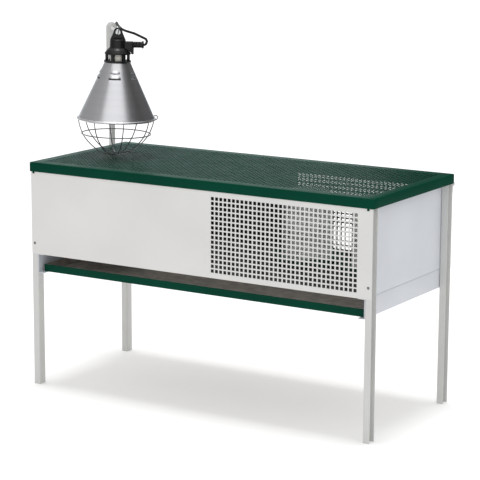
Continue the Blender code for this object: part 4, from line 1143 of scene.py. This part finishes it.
def makeGuard():
    reach, rim, wire = guardSet["reach"], shadeSet["rim"], guardSet["wire"]
    wires = []
    for index in range(guardSet["loops"]):
        angle = math.radians(guardSet["phase"] + 180 / guardSet["loops"] * index)
        depth = guardSet["depth"] - guardSet["layer"] * index
        half = [(reach, rim + guardSet["hook"])]
        half += [(reach * radius, rim - depth * drop) for radius, drop in guardSet["shares"]]
        outline = half + [(0, rim - depth)] + [(-radius, height) for radius, height in reversed(half)]
        points = [(radius * math.cos(angle), radius * math.sin(angle), height) for radius, height in outline]
        points = curveThrough(points, guardSet["step"])
        wires.append(wireThrough(f"guardLoop{index}", points, wire, guardSet["sides"]))
    # The ring rests on the loops, where they pass between two of the shares
    (wide, above), (narrow, below) = guardSet["shares"][1:3]
    share = (guardSet["ringDrop"] / guardSet["depth"] - above) / (below - above)
    bpy.ops.mesh.primitive_torus_add(
        major_radius=reach * (wide + (narrow - wide) * share) + guardSet["layer"], minor_radius=wire,
        major_segments=guardSet["ringSides"], minor_segments=guardSet["sides"],
        location=(0, 0, rim - guardSet["ringDrop"]),
    )
    wires.append(startPiece("guardRing"))
    objectMode()
    standIn(joined("wireGuard", wires), "lamp_guard", lampPlace, 60)


makeGuard()
print("guard ready")

# Top flanges of the side panels, seen through the lid

trimSet = {
    "width": 12 * mm,
    "bottom": 566.5 * mm,
    "sheet": 1.0 * mm,
    "sideGap": 0.1 * mm,
    "endGap": 1 * mm,
    "edge": 0.3 * mm,
}


def makeFlanges():
    bottom, endGap = trimSet["bottom"], trimSet["endGap"]
    for side, x in (("left", -1), ("right", 1)):
        low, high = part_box(f"side_panel_{side}")
        inner = high.x if x < 0 else low.x
        near, far = sorted((inner - x * trimSet["sideGap"], inner - x * trimSet["width"]))
        first = (near, low.y + endGap, bottom)
        last = (far, high.y - endGap, bottom + trimSet["sheet"])
        dress(barBlock(f"flange{side.title()}", first, last, trimSet["edge"]), "cage", "white_paint")


makeFlanges()
print("flanges ready")

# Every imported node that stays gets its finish

specialPaints = {"tray": panPaint, "side_panel_left": shadedSidePaint, "side_panel_right": shadedSidePaint}
for side in ("left", "right"):
    for leaf in ("hinge_lower", "hinge_upper", "hinge_pin"):
        specialPaints[f"{leaf}_{side}"] = finishes["grey_paint"]
    for end in ("front", "back"):
        specialPaints[f"panel_rivet_{end}_{side}"] = screwPaint

for nodeName, node in frame["nodes"].items():
    if not node.hide_render:
        node.data.materials.clear()
        node.data.materials.append(specialPaints.get(nodeName, finishes[slotOf[nodeName]]))
print("packed nodes dressed")

# Studio: white paper that keeps the shadow, a soft sun overhead, cards that only reflections see

studioSet = {
    "worldStrength": 0.84,
    "floorSize": 60,
    "floorLift": 0.16,
    "sun": {"azimuth": 125, "height": 88, "distance": 5, "strength": 1.1, "softness": 14},
    "cardAim": 0.8,
    "cards": (  # name, colour, direction, distance, height, size, strength
        ("cardBack", "EFFAFF", 125, 3.4, 0.9, (3.4, 1.8), 0.85),
        ("cardLeft", "FFFFFF", -165, 2.6, 1.6, (5.0, 3.4), 0.34),
        ("cardRim", "FFFFFF", -112, 2.3, 1.9, (0.5, 2.6), 0.10),
        ("cardRight", "FFFFFF", 14, 2.4, 1.5, (2.8, 3.4), 0.05),
        ("cardFar", "FFFFFF", 72, 2.7, 1.5, (3.6, 3.4), 0.10),
    ),
}


def showBackdrop(tree, output, lit, seen):
    # The second shader for the rays that see the backdrop itself: the camera's, off metal, through glass
    rays = addNode(tree, "ShaderNodeLightPath")
    factor = rays.outputs["Is Camera Ray"]
    for kind in ("Is Glossy Ray", "Is Transmission Ray"):
        links = {0: factor, 1: rays.outputs[kind]}
        factor = addNode(tree, "ShaderNodeMath", {"operation": "MAXIMUM"}, None, links).outputs["Value"]
    mixed = addNode(tree, "ShaderNodeMixShader", None, None, {"Fac": factor, 1: lit, 2: seen})
    tree.links.new(mixed.outputs["Shader"], tree.nodes[output].inputs["Surface"])


def makeFloorMaterial():
    # Seamless white paper: lit white where nothing shades it, so only the shadow shows
    made, tree, shader = newMaterial("studioPaper", "F2F2F2", 0.95, Specular_IOR_Level=0.0)
    lift = addNode(tree, "ShaderNodeEmission", None, {"Color": white, "Strength": studioSet["floorLift"]})
    links = {0: shader.outputs["BSDF"], 1: lift.outputs["Emission"]}
    lifted = addNode(tree, "ShaderNodeAddShader", None, None, links)
    showBackdrop(tree, "Material Output", shader.outputs["BSDF"], lifted.outputs["Shader"])
    return made


def makeWorld():
    world = bpy.data.worlds.new("studio")
    bpy.context.scene.world = world
    world.use_nodes = True
    tree = world.node_tree
    even = tree.nodes["Background"]
    even.inputs["Color"].default_value = white
    even.inputs["Strength"].default_value = studioSet["worldStrength"]
    backdrop = addNode(tree, "ShaderNodeBackground", None, {"Color": white, "Strength": 1.0})
    showBackdrop(tree, "World Output", even.outputs["Background"], backdrop.outputs["Background"])


def makeCard(name, colour, azimuth, distance, height, size, level):
    # A plane of one colour on a circle round the lamp, facing it; only reflections see it
    angle = math.radians(azimuth)
    spot = Vector((lampEye.x + math.cos(angle) * distance, lampEye.y + math.sin(angle) * distance, height))
    towards = Vector((lampEye.x, lampEye.y, studioSet["cardAim"])) - spot
    bpy.ops.mesh.primitive_plane_add(
        size=1, location=spot, rotation=towards.to_track_quat("-Z", "Y").to_euler()
    )
    card = bpy.context.active_object
    card.name = name
    card.scale = (*size, 1)
    made, _, shader = newMaterial(name, "000000", 1.0, Specular_IOR_Level=0.0)
    shader.inputs["Emission Color"].default_value = hexColour(colour)
    shader.inputs["Emission Strength"].default_value = level
    card.data.materials.append(made)
    for ray in ("camera", "diffuse", "shadow", "transmission", "volume_scatter"):
        setattr(card, f"visible_{ray}", False)


def makeSun():
    sunSet = studioSet["sun"]
    azimuth, height = math.radians(sunSet["azimuth"]), math.radians(sunSet["height"])
    level = math.cos(height)
    towards = Vector((math.cos(azimuth) * level, math.sin(azimuth) * level, math.sin(height)))
    bpy.ops.object.light_add(
        type="SUN", location=towards * sunSet["distance"],
        rotation=towards.to_track_quat("Z", "Y").to_euler(),
    )
    sun = bpy.context.active_object
    sun.name = "sun"
    sun.data.energy = sunSet["strength"]
    sun.data.angle = math.radians(sunSet["softness"])


def makeStudio():
    bpy.ops.mesh.primitive_plane_add(size=studioSet["floorSize"])
    ground = bpy.context.active_object
    ground.name = "studioFloor"
    ground.data.materials.append(makeFloorMaterial())
    makeWorld()
    makeSun()
    for card in studioSet["cards"]:
        makeCard(*card)


makeStudio()
print("studio ready")
